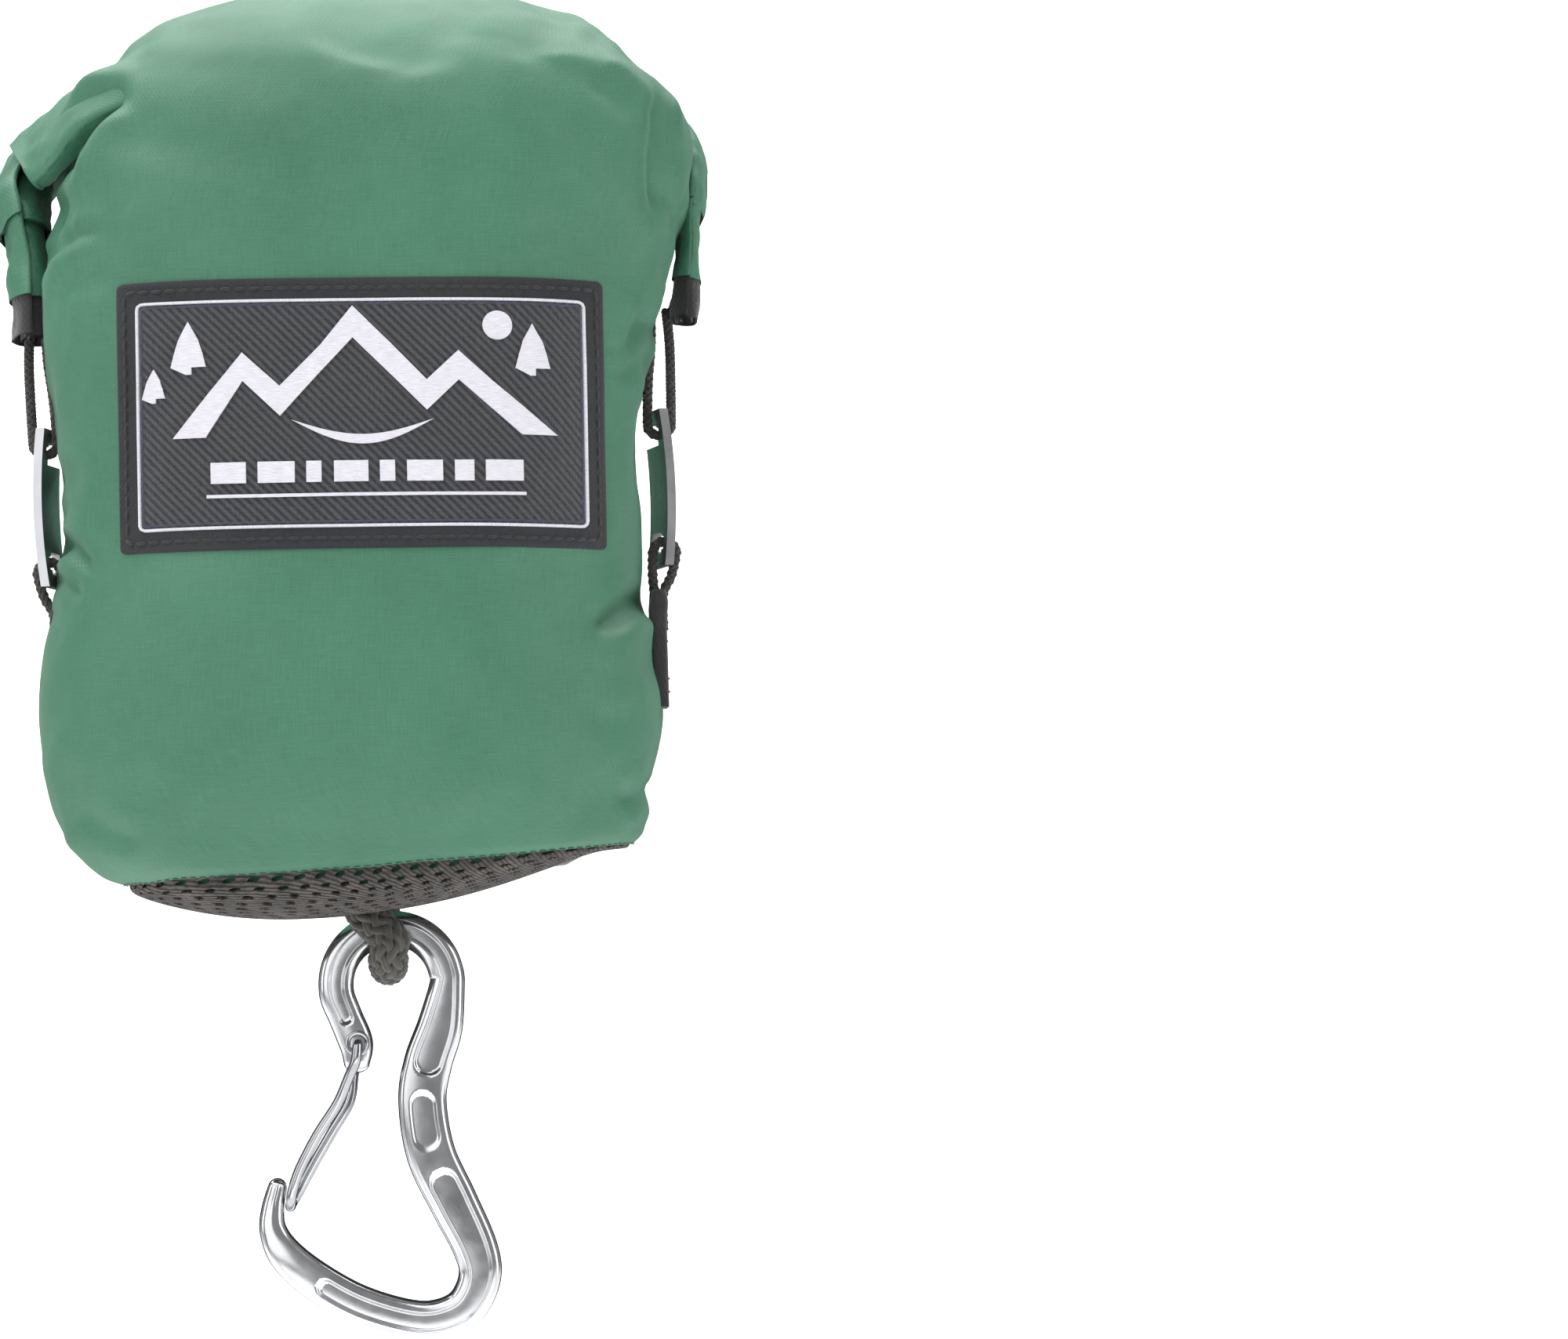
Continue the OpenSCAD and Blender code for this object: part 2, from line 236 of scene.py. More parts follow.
# ---- node groups and materials ----
def nodeGroup(name, inputs, outputs):
    tree = bpy.data.node_groups.new(name, "ShaderNodeTree")
    for label, kind, value in inputs:
        item = tree.interface.new_socket(label, in_out="INPUT", socket_type=kind)
        if value is not None:
            item.default_value = value
    for label, kind in outputs:
        tree.interface.new_socket(label, in_out="OUTPUT", socket_type=kind)
    return tree, tree.nodes.new("NodeGroupInput"), tree.nodes.new("NodeGroupOutput")


def feed(tree, socket, value):
    # joins a socket to another one, or sets it to a constant
    if hasattr(value, "links"):
        tree.links.new(value, socket)
    else:
        socket.default_value = value


def calc(tree, operation, *values):
    node = tree.nodes.new("ShaderNodeMath")
    node.operation = operation
    for socket, value in zip(node.inputs, values):
        feed(tree, socket, value)
    return node.outputs[0]


def noiseNode(tree, vector, scale, detail=3, roughness=0.55, stretch=None):
    if stretch:
        mapping = tree.nodes.new("ShaderNodeMapping")
        mapping.inputs["Scale"].default_value = stretch
        tree.links.new(vector, mapping.inputs["Vector"])
        vector = mapping.outputs[0]
    node = tree.nodes.new("ShaderNodeTexNoise")
    node.inputs["Scale"].default_value = scale
    node.inputs["Detail"].default_value = detail
    node.inputs["Roughness"].default_value = roughness
    tree.links.new(vector, node.inputs["Vector"])
    return node.outputs["Fac"]


def makeWeaveGroup():
    # threads over and under each other, with slubs; Height is for bump, Tone for colour
    tree, start, end = nodeGroup("clothWeave",
                                 [("Vector", "NodeSocketVector", None), ("Pitch", "NodeSocketFloat", 0.0005)],
                                 [("Height", "NodeSocketFloat"), ("Tone", "NodeSocketFloat")])
    split = tree.nodes.new("ShaderNodeSeparateXYZ")
    tree.links.new(start.outputs["Vector"], split.inputs[0])
    turns = [calc(tree, "MULTIPLY", calc(tree, "DIVIDE", split.outputs[k], start.outputs["Pitch"]), math.pi)
             for k in (0, 1)]
    waves = [calc(tree, "SINE", turn) for turn in turns]
    weave = calc(tree, "MULTIPLY", waves[0], waves[1])
    warp = noiseNode(tree, start.outputs["Vector"], 1, 4, 0.7, (3500, 160, 1))
    weft = noiseNode(tree, start.outputs["Vector"], 1, 4, 0.7, (160, 3500, 1))
    slub = calc(tree, "ADD", warp, weft)
    height = calc(tree, "ADD", calc(tree, "MULTIPLY", weave, 0.35), slub)
    tree.links.new(height, end.inputs["Height"])
    tree.links.new(calc(tree, "MULTIPLY", slub, 0.5), end.inputs["Tone"])
    return tree


def makeBraidGroup():
    # fibres along a strand, in the strand's own UVs
    tree, start, end = nodeGroup("strandFibre",
                                 [("Vector", "NodeSocketVector", None), ("Fineness", "NodeSocketFloat", 1)],
                                 [("Height", "NodeSocketFloat"), ("Tone", "NodeSocketFloat")])
    scaled = tree.nodes.new("ShaderNodeVectorMath")
    scaled.operation = "SCALE"
    tree.links.new(start.outputs["Vector"], scaled.inputs[0])
    tree.links.new(start.outputs["Fineness"], scaled.inputs["Scale"])
    fibre = noiseNode(tree, scaled.outputs[0], 1, 4, 0.75, (6000, 260, 1))
    patch = noiseNode(tree, scaled.outputs[0], 1, 2, 0.5, (180, 260, 1))
    tree.links.new(fibre, end.inputs["Height"])
    tone = calc(tree, "ADD", calc(tree, "MULTIPLY", fibre, 0.6), calc(tree, "MULTIPLY", patch, 0.4))
    tree.links.new(tone, end.inputs["Tone"])
    return tree


def makeWearGroup():
    # fine scratches and smudges for bare metal
    tree, start, end = nodeGroup("metalWear", [("Vector", "NodeSocketVector", None)],
                                 [("Height", "NodeSocketFloat"), ("Smudge", "NodeSocketFloat")])
    across = noiseNode(tree, start.outputs["Vector"], 1, 5, 0.8, (2600, 2600, 160))
    long = noiseNode(tree, start.outputs["Vector"], 1, 5, 0.8, (200, 2600, 2600))
    smudge = noiseNode(tree, start.outputs["Vector"], 130, 4, 0.6)
    tree.links.new(calc(tree, "MAXIMUM", across, long), end.inputs["Height"])
    tree.links.new(smudge, end.inputs["Smudge"])
    return tree


weaveGroup = makeWeaveGroup()
braidGroup = makeBraidGroup()
wearGroup = makeWearGroup()


def newMaterial(name, **values):
    material = bpy.data.materials.new(name)
    material.use_nodes = True
    tree = material.node_tree
    shader = tree.nodes["Principled BSDF"]
    for key, value in values.items():
        shader.inputs[key].default_value = value
    return material, tree, shader


def placeGroup(tree, group, vector, **values):
    node = tree.nodes.new("ShaderNodeGroup")
    node.node_tree = group
    tree.links.new(vector, node.inputs["Vector"])
    for key, value in values.items():
        node.inputs[key].default_value = value
    return node


def coordinates(tree, kind):
    return tree.nodes.new("ShaderNodeTexCoord").outputs[kind]


def addBump(tree, shader, height, distance, strength=1.0):
    bump = tree.nodes.new("ShaderNodeBump")
    bump.inputs["Strength"].default_value = strength
    bump.inputs["Distance"].default_value = distance
    tree.links.new(height, bump.inputs["Height"])
    tree.links.new(bump.outputs[0], shader.inputs["Normal"])


def ramp(tree, factor, *stops):
    node = tree.nodes.new("ShaderNodeValToRGB")
    elements = node.color_ramp.elements
    while len(elements) < len(stops):
        elements.new(0.5)
    for element, (place, colour) in zip(elements, stops):
        element.position = place
        element.color = (*colour, 1)
    tree.links.new(factor, node.inputs[0])
    return node.outputs[0]


def clothMaterial(name, low, high, pitch, bump, roughness, sheen=0.3, tint=(1, 1, 1, 1)):
    material, tree, shader = newMaterial(name, **{"Sheen Weight": sheen, "Sheen Roughness": 0.4, "Sheen Tint": tint})
    weave = placeGroup(tree, weaveGroup, coordinates(tree, "UV"), Pitch=pitch)
    broad = noiseNode(tree, coordinates(tree, "Object"), 28, 3)
    tone = calc(tree, "ADD", calc(tree, "MULTIPLY", weave.outputs["Tone"], 0.72),
                    calc(tree, "MULTIPLY", broad, 0.28))
    tree.links.new(ramp(tree, tone, (0.34, low), (0.66, high)), shader.inputs["Base Color"])
    tree.links.new(calc(tree, "MULTIPLY_ADD", weave.outputs["Tone"], 0.2, roughness - 0.1),
                   shader.inputs["Roughness"])
    addBump(tree, shader, weave.outputs["Height"], bump)
    return material


def strandMaterial(name, dark, mid, light, fineness, bump):
    material, tree, shader = newMaterial(name, Roughness=0.75, **{"Sheen Weight": 0.25})
    fibre = placeGroup(tree, braidGroup, coordinates(tree, "UV"), Fineness=fineness)
    tree.links.new(ramp(tree, fibre.outputs["Tone"], (0.3, dark), (0.5, mid), (0.72, light)),
                   shader.inputs["Base Color"])
    addBump(tree, shader, fibre.outputs["Height"], bump)
    return material


def metalMaterial(name, colour, roughness, bump):
    material, tree, shader = newMaterial(name, Metallic=1.0)
    wear = placeGroup(tree, wearGroup, coordinates(tree, "Object"))
    darker = tuple(0.86 * part for part in colour)
    tree.links.new(ramp(tree, wear.outputs["Smudge"], (0.3, darker), (0.6, colour)), shader.inputs["Base Color"])
    tree.links.new(calc(tree, "MULTIPLY_ADD", wear.outputs["Smudge"], 0.16, roughness - 0.08),
                   shader.inputs["Roughness"])
    addBump(tree, shader, wear.outputs["Height"], bump, 0.5)
    return material


def makeKnit():
    # rows of slanting loops that run round the base
    material, tree, shader = newMaterial("knitMesh", Roughness=0.8, **{"Sheen Weight": 0.15})
    split = tree.nodes.new("ShaderNodeSeparateXYZ")
    tree.links.new(coordinates(tree, "UV"), split.inputs[0])
    drift = noiseNode(tree, coordinates(tree, "UV"), 260, 2)
    slant = calc(tree, "MULTIPLY_ADD", split.outputs[1], 0.5, split.outputs[0])
    # how often the rows and the loops come, in metres
    rowTurn = calc(tree, "MULTIPLY", slant, math.tau / 0.0013)
    loopTurn = calc(tree, "MULTIPLY", split.outputs[1], math.tau / 0.0026)
    rows = calc(tree, "SINE", calc(tree, "MULTIPLY_ADD", drift, 5.0, rowTurn))
    loops = calc(tree, "SINE", calc(tree, "MULTIPLY_ADD", drift, 4.0, loopTurn))
    fibre = placeGroup(tree, braidGroup, coordinates(tree, "UV"), Fineness=0.5)
    fine = calc(tree, "MULTIPLY_ADD", loops, 0.25, fibre.outputs["Height"])
    height = calc(tree, "MULTIPLY_ADD", rows, 0.5, fine)
    # the rows also make the colour lighter on their raised crests and darker in the grooves between them: painted
    # highlight and painted shade, added to the fibres' own tone
    tone = calc(tree, "MULTIPLY_ADD", rows, 0.10, fibre.outputs["Tone"])
    shade = ramp(tree, tone, (0.3, (0.008, 0.007, 0.006)), (0.52, (0.045, 0.037, 0.029)), (0.76, (0.21, 0.17, 0.14)))
    tree.links.new(shade, shader.inputs["Base Color"])
    addBump(tree, shader, height, 0.0009)
    return material


greenNylon = clothMaterial("greenNylon", (0.026, 0.118, 0.066), (0.060, 0.205, 0.122), 0.00055, 0.00006, 0.46, 0.16,
                           (0.75, 1, 0.85, 1))
packedNylon = clothMaterial("packedNylon", (0.05, 0.20, 0.12), (0.10, 0.33, 0.20), 0.00055, 0.00004, 0.55)
darkTape = clothMaterial("darkTape", (0.008, 0.008, 0.009), (0.03, 0.029, 0.028), 0.0009, 0.00012, 0.75)
tabWebbing = clothMaterial("tabWebbing", (0.010, 0.010, 0.011), (0.036, 0.035, 0.034), 0.0012, 0.0002, 0.75)
labelCloth = clothMaterial("labelCloth", (0.009, 0.010, 0.011), (0.029, 0.032, 0.035), 0.0007, 0.00012, 0.8, 0.1)
knitMaterial = makeKnit()
# name, dark, middle and light colour, how fine the fibres are, how high
strands = {kind[0]: strandMaterial(*kind) for kind in (
    ("sideCord", (0.010, 0.009, 0.008), (0.034, 0.030, 0.027), (0.10, 0.09, 0.08), 1.0, 0.0001),
    ("braidedRope", (0.012, 0.012, 0.010), (0.050, 0.048, 0.040), (0.16, 0.145, 0.115), 0.7, 0.00015),
    ("stitchThread", (0.004, 0.004, 0.004), (0.014, 0.014, 0.015), (0.04, 0.04, 0.04), 1.5, 0.00005),
    ("greenThread", (0.012, 0.06, 0.035), (0.02, 0.10, 0.055), (0.04, 0.17, 0.10), 1.5, 0.00005),
    ("navyThread", (0.012, 0.014, 0.028), (0.030, 0.034, 0.060), (0.07, 0.08, 0.12), 1.5, 0.00005),
)}
cordMaterial, ropeMaterial, threadMaterial, greenThread, navyThread = strands.values()
polished = metalMaterial("polishedAluminium", (0.66, 0.67, 0.69), 0.17, 0.00001)
satinPlate = metalMaterial("satinPlate", (0.56, 0.57, 0.59), 0.30, 0.000012)
gateSteel = metalMaterial("gateSteel", (0.46, 0.47, 0.49), 0.12, 0.000006)
print("materials ready")

# ---- sack ----
sack = {
    # height, left, right, front, back: the outline of the stuffed sack, in mm from its middle
    "ribs": [(-80.0, -54.5, 59.5, 40, 41), (-77.5, -60.5, 61.8, 42.5, 43), (-70, -67.0, 62.8, 44.5, 45),
             (-57, -71.0, 65.6, 45.8, 46), (-46, -71.8, 66.6, 46.2, 47), (-34, -71.6, 65.4, 46.3, 47),
             (-23, -69.2, 63.0, 46.2, 47), (-10, -67.0, 63.6, 46.0, 47), (3, -66.4, 64.4, 46.0, 47),
             (18, -66.8, 66.2, 46.0, 47), (28, -68.4, 68.0, 46.0, 47),
             (38, -69.6, 69.8, 46.2, 47), (50, -69.0, 72.6, 46.4, 46.8), (60, -66.8, 74.8, 46.4, 46.4),
             (69, -65.2, 76.8, 46.2, 46), (78, -64.8, 78.0, 45.6, 45.4), (86, -62.6, 77.6, 44.4, 44),
             (93, -59.0, 74.6, 42.6, 42.4), (100, -54.0, 67.0, 40.0, 40), (108, -44.5, 56.0, 34.5, 34.5),
             (113.6, -28, 38.5, 26, 26), (116.4, -9.0, 19.5, 15, 15), (117.0, 3.5, 8.5, 4, 4)],
    "stepsPerRib": 11,
    "around": 264,
    "frontPower": 3.0,
    "backPower": 2.6,
    "flatBack": 44.2,        # the back is pressed flat this far behind the middle
    "backEase": 2.0,         # how gently it turns flat
    "seamTilt": 0.040,       # the base hangs lower on the left
    "frontSag": 1.6,         # the front's hem hangs lower in its middle
    "ripple": 0.45,          # broad unevenness of the stuffing
}
# each fold: where it runs on the front (across, up), how wide and how deep, all in mm
folds = [
    ([(-47, 92), (-55, 88), (-61, 82), (-66, 74)], 2.6, 3.2),
    ([(-44, 98), (-54, 95), (-63, 88), (-69, 81)], 3.0, -1.6),
    ([(-66, 74), (-63, 66), (-64, 58)], 2.2, 1.8),
    ([(-68, 58), (-61, 60.5), (-53, 61)], 1.5, 1.0),
    ([(-69, 47), (-60, 50), (-50, 49)], 2.4, 0.7),
    ([(70, 92), (71.5, 84), (70, 72), (71, 58)], 2.4, 2.6),
    ([(58, 97), (66, 91), (70, 84)], 2.6, -1.2),
    ([(70, 41), (66, 36), (63, 29)], 1.8, 2.0),
    ([(69, 33), (64, 27), (60, 24)], 1.6, 1.0),
    ([(66, -20), (60, -26), (53, -32)], 2.0, 2.4),
    ([(66, -27), (60, -35), (52, -40)], 3.2, -1.0),
    ([(66, -48), (58, -52), (48, -52)], 3.0, 0.8),
    ([(65, -64), (60, -68), (54, -69)], 2.0, 1.3),
    ([(-71, -4), (-65, -8), (-60, -15)], 1.8, 2.0),
    ([(-71, -12), (-66, -16), (-63, -21)], 1.6, 1.3),
    ([(-71, 12), (-66, 9), (-62, 4)], 2.2, 0.8),
    ([(-66, -66), (-58, -72), (-48, -75)], 2.4, 0.9),
    ([(-30, 108), (0, 111), (34, 108)], 5.0, 0.5),
    ([(-52, 82), (-30, 74), (-8, 72)], 5.0, 0.45),
    ([(62, 78), (40, 70), (16, 68)], 5.0, 0.5),
    ([(-64, -30), (-40, -36), (-14, -36)], 6.0, 0.5),
    ([(60, -42), (36, -50), (8, -52)], 6.0, 0.5),
]


def segmentDistance(flat, line):
    # distance to a polyline, and how far along it, from 0 to 1
    best = np.full(len(flat), 1e9)
    place = np.zeros(len(flat))
    spans = np.linalg.norm(np.diff(line, axis=0), axis=1)
    total, before = spans.sum(), 0
    for a, b, span in zip(line[:-1], line[1:], spans):
        t = np.clip(((flat - a) @ (b - a)) / span ** 2, 0, 1)
        d = np.linalg.norm(flat - a - t[:, None] * (b - a), axis=1)
        closer = d < best
        best[closer] = d[closer]
        place[closer] = (before + t[closer] * span) / total
        before += span
    return best, place


def reachAt(angle, half, front, back, s):
    # how far the outline is from its middle, at each angle
    depth = np.where(np.sin(angle) < 0, front, back)
    power = np.where(np.sin(angle) < 0, s["frontPower"], s["backPower"])
    return (np.abs(np.cos(angle) / half) ** power + np.abs(np.sin(angle) / depth) ** power) ** (-1 / power)


def sackPoints(s):
    ribs = smoothRun(s["ribs"], s["stepsPerRib"])
    angle = np.linspace(-math.pi, math.pi, s["around"], endpoint=False)
    points = np.zeros((len(ribs), s["around"], 3))
    for i, (height, left, right, front, back) in enumerate(ribs):
        middle = (left + right) / 2
        half = (right - left) / 2
        r = reachAt(angle, half, front, back, s)
        points[i, :, 0] = middle + r * np.cos(angle)
        points[i, :, 1] = r * np.sin(angle)
        points[i, :, 2] = height
    x, y, z = points[..., 0], points[..., 1], points[..., 2]
    ease = s["backEase"]
    edge = s["flatBack"] - ease
    points[..., 1] = np.where(y > edge, edge + ease * np.tanh((y - edge) / ease), y)
    tilt = smoothStep(-40, -78, z)
    points[..., 2] += s["seamTilt"] * (x - 10) * tilt - s["frontSag"] * tilt * (y < 0) * (1 - (x / 70) ** 2)
    return points


def dentFront(points, normals, lines):
    flat = points[:, [0, 2]]
    push = np.zeros(len(points))
    facing = smoothStep(6, -10, points[:, 1])
    for line, width, depth in lines:
        d, along = segmentDistance(flat, smoothRun(line, 6))
        ends = smoothStep(0, 0.22, along) * smoothStep(1, 0.72, along)
        valley = np.exp(-(d / width) ** 2) - 0.5 * np.exp(-((d - 2.3 * width) / (1.1 * width)) ** 2)
        push -= depth * valley * ends * facing
    return points + normals * push[:, None]


def gridNormals(points):
    across = np.roll(points, -1, 1) - np.roll(points, 1, 1)
    along = np.gradient(points, axis=0)
    normal = np.cross(across, along)
    return normal / np.maximum(np.linalg.norm(normal, axis=2), 1e-9)[..., None]


def ripple(points, size, seed, stretch=(1, 1, 1)):
    offset = Vector((seed * 13.7, seed * 5.1, seed * 9.3))
    scaled = points * np.array(stretch) / size
    return np.array([noise.noise(Vector(p) + offset) for p in scaled])


def buildSack(s):
    grid = sackPoints(s)
    normals = gridNormals(grid)
    shape = grid.shape
    flat, out = grid.reshape(-1, 3), normals.reshape(-1, 3)
    nearEar = np.clip(smoothStep(36, 62, np.abs(flat[:, 0])) * smoothStep(30, 60, flat[:, 2]), 0, 1)
    nearSide = smoothStep(50, 68, np.abs(flat[:, 0]))
    bump = s["ripple"] * ripple(flat, 26, 1) + (0.25 + 0.9 * nearEar + 0.45 * nearSide) * ripple(flat, 11, 2)
    bump += 0.55 * nearEar * ripple(flat, 5, 3, (1, 1, 0.6)) + 0.10 * ripple(flat, 6, 4)
    notOnBack = smoothStep(42, 30, flat[:, 1])
    flat = flat + out * (bump * (0.25 + 0.75 * notOnBack))[:, None]
    flat = dentFront(flat, out, folds)
    flat[:, 1] = np.minimum(flat[:, 1] + midY / mm, 0.4)
    return flat.reshape(shape) * mm


creasing = {
    "everyRow": 3, "everyColumn": 3, "frames": 20, "pressure": 4.0, "slack": -0.035,
    "cap": 1.7,              # how far any point may move, in mm
    "keepLabel": 0.35,       # the label holds the cloth behind it flatter
}


def simulateCloth(name, grid, pins, s):
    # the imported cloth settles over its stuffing; grid is rows x columns x 3 in metres, closed around
    obj = gridMesh(name, grid, closedAcross=True, caps=True)
    group = obj.vertex_groups.new(name="held")
    for index, weight in enumerate(pins.ravel()):
        if weight > 0.01:
            group.add([index], float(weight), "REPLACE")
    cloth = obj.modifiers.new("cloth", "CLOTH")
    values = cloth.settings
    values.quality = 6
    values.mass = 0.1
    values.tension_stiffness = values.compression_stiffness = 18
    values.shear_stiffness = 8
    values.bending_stiffness = 0.08
    values.use_pressure = True
    values.uniform_pressure_force = s["pressure"]
    values.vertex_group_mass = "held"
    values.shrink_min = values.shrink_max = s["slack"]
    values.effector_weights.gravity = 0
    cloth.point_cache.frame_start, cloth.point_cache.frame_end = 1, s["frames"]
    scene = bpy.context.scene
    for frameNumber in range(1, s["frames"] + 1):
        scene.frame_set(frameNumber)
    settled = obj.evaluated_get(bpy.context.evaluated_depsgraph_get()).to_mesh()
    moved = np.empty(len(settled.vertices) * 3)
    settled.vertices.foreach_get("co", moved)
    scene.frame_set(1)
    bpy.data.objects.remove(obj)
    return moved.reshape(grid.shape)


def spread(field, rows, cols):
    # a coarse field of vectors over the grid, read smoothly at every row and column; closed around
    fromRows, fromCols = field.shape[:2]
    wide = np.concatenate([field, field[:, :1]], 1)
    at = np.linspace(0, fromRows - 1, rows)
    tall = np.stack([np.stack([np.interp(at, np.arange(fromRows), wide[:, j, k]) for j in range(fromCols + 1)], 1)
                     for k in range(field.shape[2])], 2)
    at = np.linspace(0, fromCols, cols, endpoint=False)
    return np.stack([np.stack([np.interp(at, np.arange(fromCols + 1), tall[i, :, k]) for i in range(rows)], 0)
                     for k in range(field.shape[2])], 2)


def creaseSack(grid, s):
    rows = np.linspace(0, len(grid) - 1, len(grid) // s["everyRow"]).astype(int)
    cols = np.arange(0, grid.shape[1], s["everyColumn"])
    coarse = grid[rows][:, cols]
    x, y, z = coarse[..., 0] / mm, coarse[..., 1] / mm, coarse[..., 2] / mm
    pins = 0.9 * smoothStep(-72, -78, z) + 0.8 * smoothStep(58, 66, np.abs(x)) * smoothStep(40, 60, z)
    pins = np.clip(np.maximum(pins, smoothStep(-8, -3, y)), 0, 1)
    moved = simulateCloth("sackCloth", coarse, pins, s)
    shift = (moved - coarse) / mm
    shift -= shift.mean((0, 1))
    long = np.linalg.norm(shift, axis=2, keepdims=True)
    shift *= s["cap"] * np.tanh(long / s["cap"]) / np.maximum(long, 1e-9)
    flatter = smoothStep(62, 50, np.abs(x)) * smoothStep(-18, -10, z) * smoothStep(52, 44, z) * (y < midY / mm)
    shift *= (1 - (1 - s["keepLabel"]) * flatter)[..., None]
    shift = (shift + 0.5 * np.roll(shift, 1, 1) + 0.5 * np.roll(shift, -1, 1)) / 2
    full = spread(shift, len(grid), grid.shape[1])
    for turn in range(3):
        full = 0.5 * full + 0.25 * (np.roll(full, 1, 1) + np.roll(full, -1, 1))
        full[1:-1] = 0.5 * full[1:-1] + 0.25 * (full[:-2] + full[2:])
    made = grid + full * mm
    made[..., 1] = np.minimum(made[..., 1], 0.0004)
    return made


sackGrid = buildSack(sack)
sackGrid = creaseSack(sackGrid, creasing)
columns = sack["around"]
half = columns // 2
# the crown is drawn shut at its middle
crownTip = sackGrid[-1].mean(0)
crownEdge = sackGrid[-1] - crownTip
sackGrid = np.concatenate([sackGrid, [crownTip + crownEdge * 0.5], [crownTip + crownEdge * 0.01]])


def panelFrom(name, first, last):
    # the columns between the two side seams, both included
    return gridMesh(name, sackGrid[:, [k % columns for k in range(first, last + 1)]])


frontPanel = panelFrom("frontPanel", 0, half)
backPanel = panelFrom("backPanel", half, columns)
print("sack ready", len(frontPanel.data.polygons))


# ---- geometry nodes ----
def nodeTree(name, inputs):
    # a modifier tree with named inputs; returns the tree and its sockets by name
    tree = bpy.data.node_groups.new(name, "GeometryNodeTree")
    tree.interface.new_socket("Geometry", in_out="INPUT", socket_type="NodeSocketGeometry")
    for label, kind, value in inputs:
        item = tree.interface.new_socket(label, in_out="INPUT", socket_type=kind)
        if value is not None:
            item.default_value = value
    tree.interface.new_socket("Geometry", in_out="OUTPUT", socket_type="NodeSocketGeometry")
    start, end = tree.nodes.new("NodeGroupInput"), tree.nodes.new("NodeGroupOutput")
    return tree, start.outputs, end.inputs[0]


def place(tree, kind, settings=None, **links):
    # adds a node; a link's value is a socket to join or a constant
    node = tree.nodes.new(kind)
    for key, value in (settings or {}).items():
        setattr(node, key, value)
    for key, value in links.items():
        label = key.replace("_", " ")
        feed(tree, node.inputs[int(key[1:])] if key in ("i0", "i1") else node.inputs[label], value)
    return node


def scaled(tree, vector, factor):
    return place(tree, "ShaderNodeVectorMath", {"operation": "SCALE"}, Vector=vector, Scale=factor).outputs[0]


def summed(tree, first, second):
    return place(tree, "ShaderNodeVectorMath", {"operation": "ADD"}, i0=first, i1=second).outputs[0]


def runTree(obj, tree, material, **values):
    # gives the object what the tree makes, as a plain mesh
    modifier = obj.modifiers.new("nodes", "NODES")
    modifier.node_group = tree
    for item in tree.interface.items_tree:
        if item.in_out != "INPUT":
            continue
        if item.name == "Material":
            modifier[item.identifier] = material
        elif item.name in values:
            modifier[item.identifier] = values[item.name]
    graph = bpy.context.evaluated_depsgraph_get()
    mesh = bpy.data.meshes.new_from_object(obj.evaluated_get(graph), preserve_all_data_layers=True, depsgraph=graph)
    made = bpy.data.objects.new(obj.name + "Made", mesh)
    bpy.context.scene.collection.objects.link(made)
    name = obj.name
    bpy.data.objects.remove(obj)
    made.name = name
    mesh.polygons.foreach_set("use_smooth", [True] * len(mesh.polygons))
    return made


def closeTree(tree, geometry, start, end):
    real = place(tree, "GeometryNodeRealizeInstances", Geometry=geometry)
    tree.links.new(place(tree, "GeometryNodeSetMaterial", Geometry=real.outputs[0],
                         Material=start["Material"]).outputs[0], end)


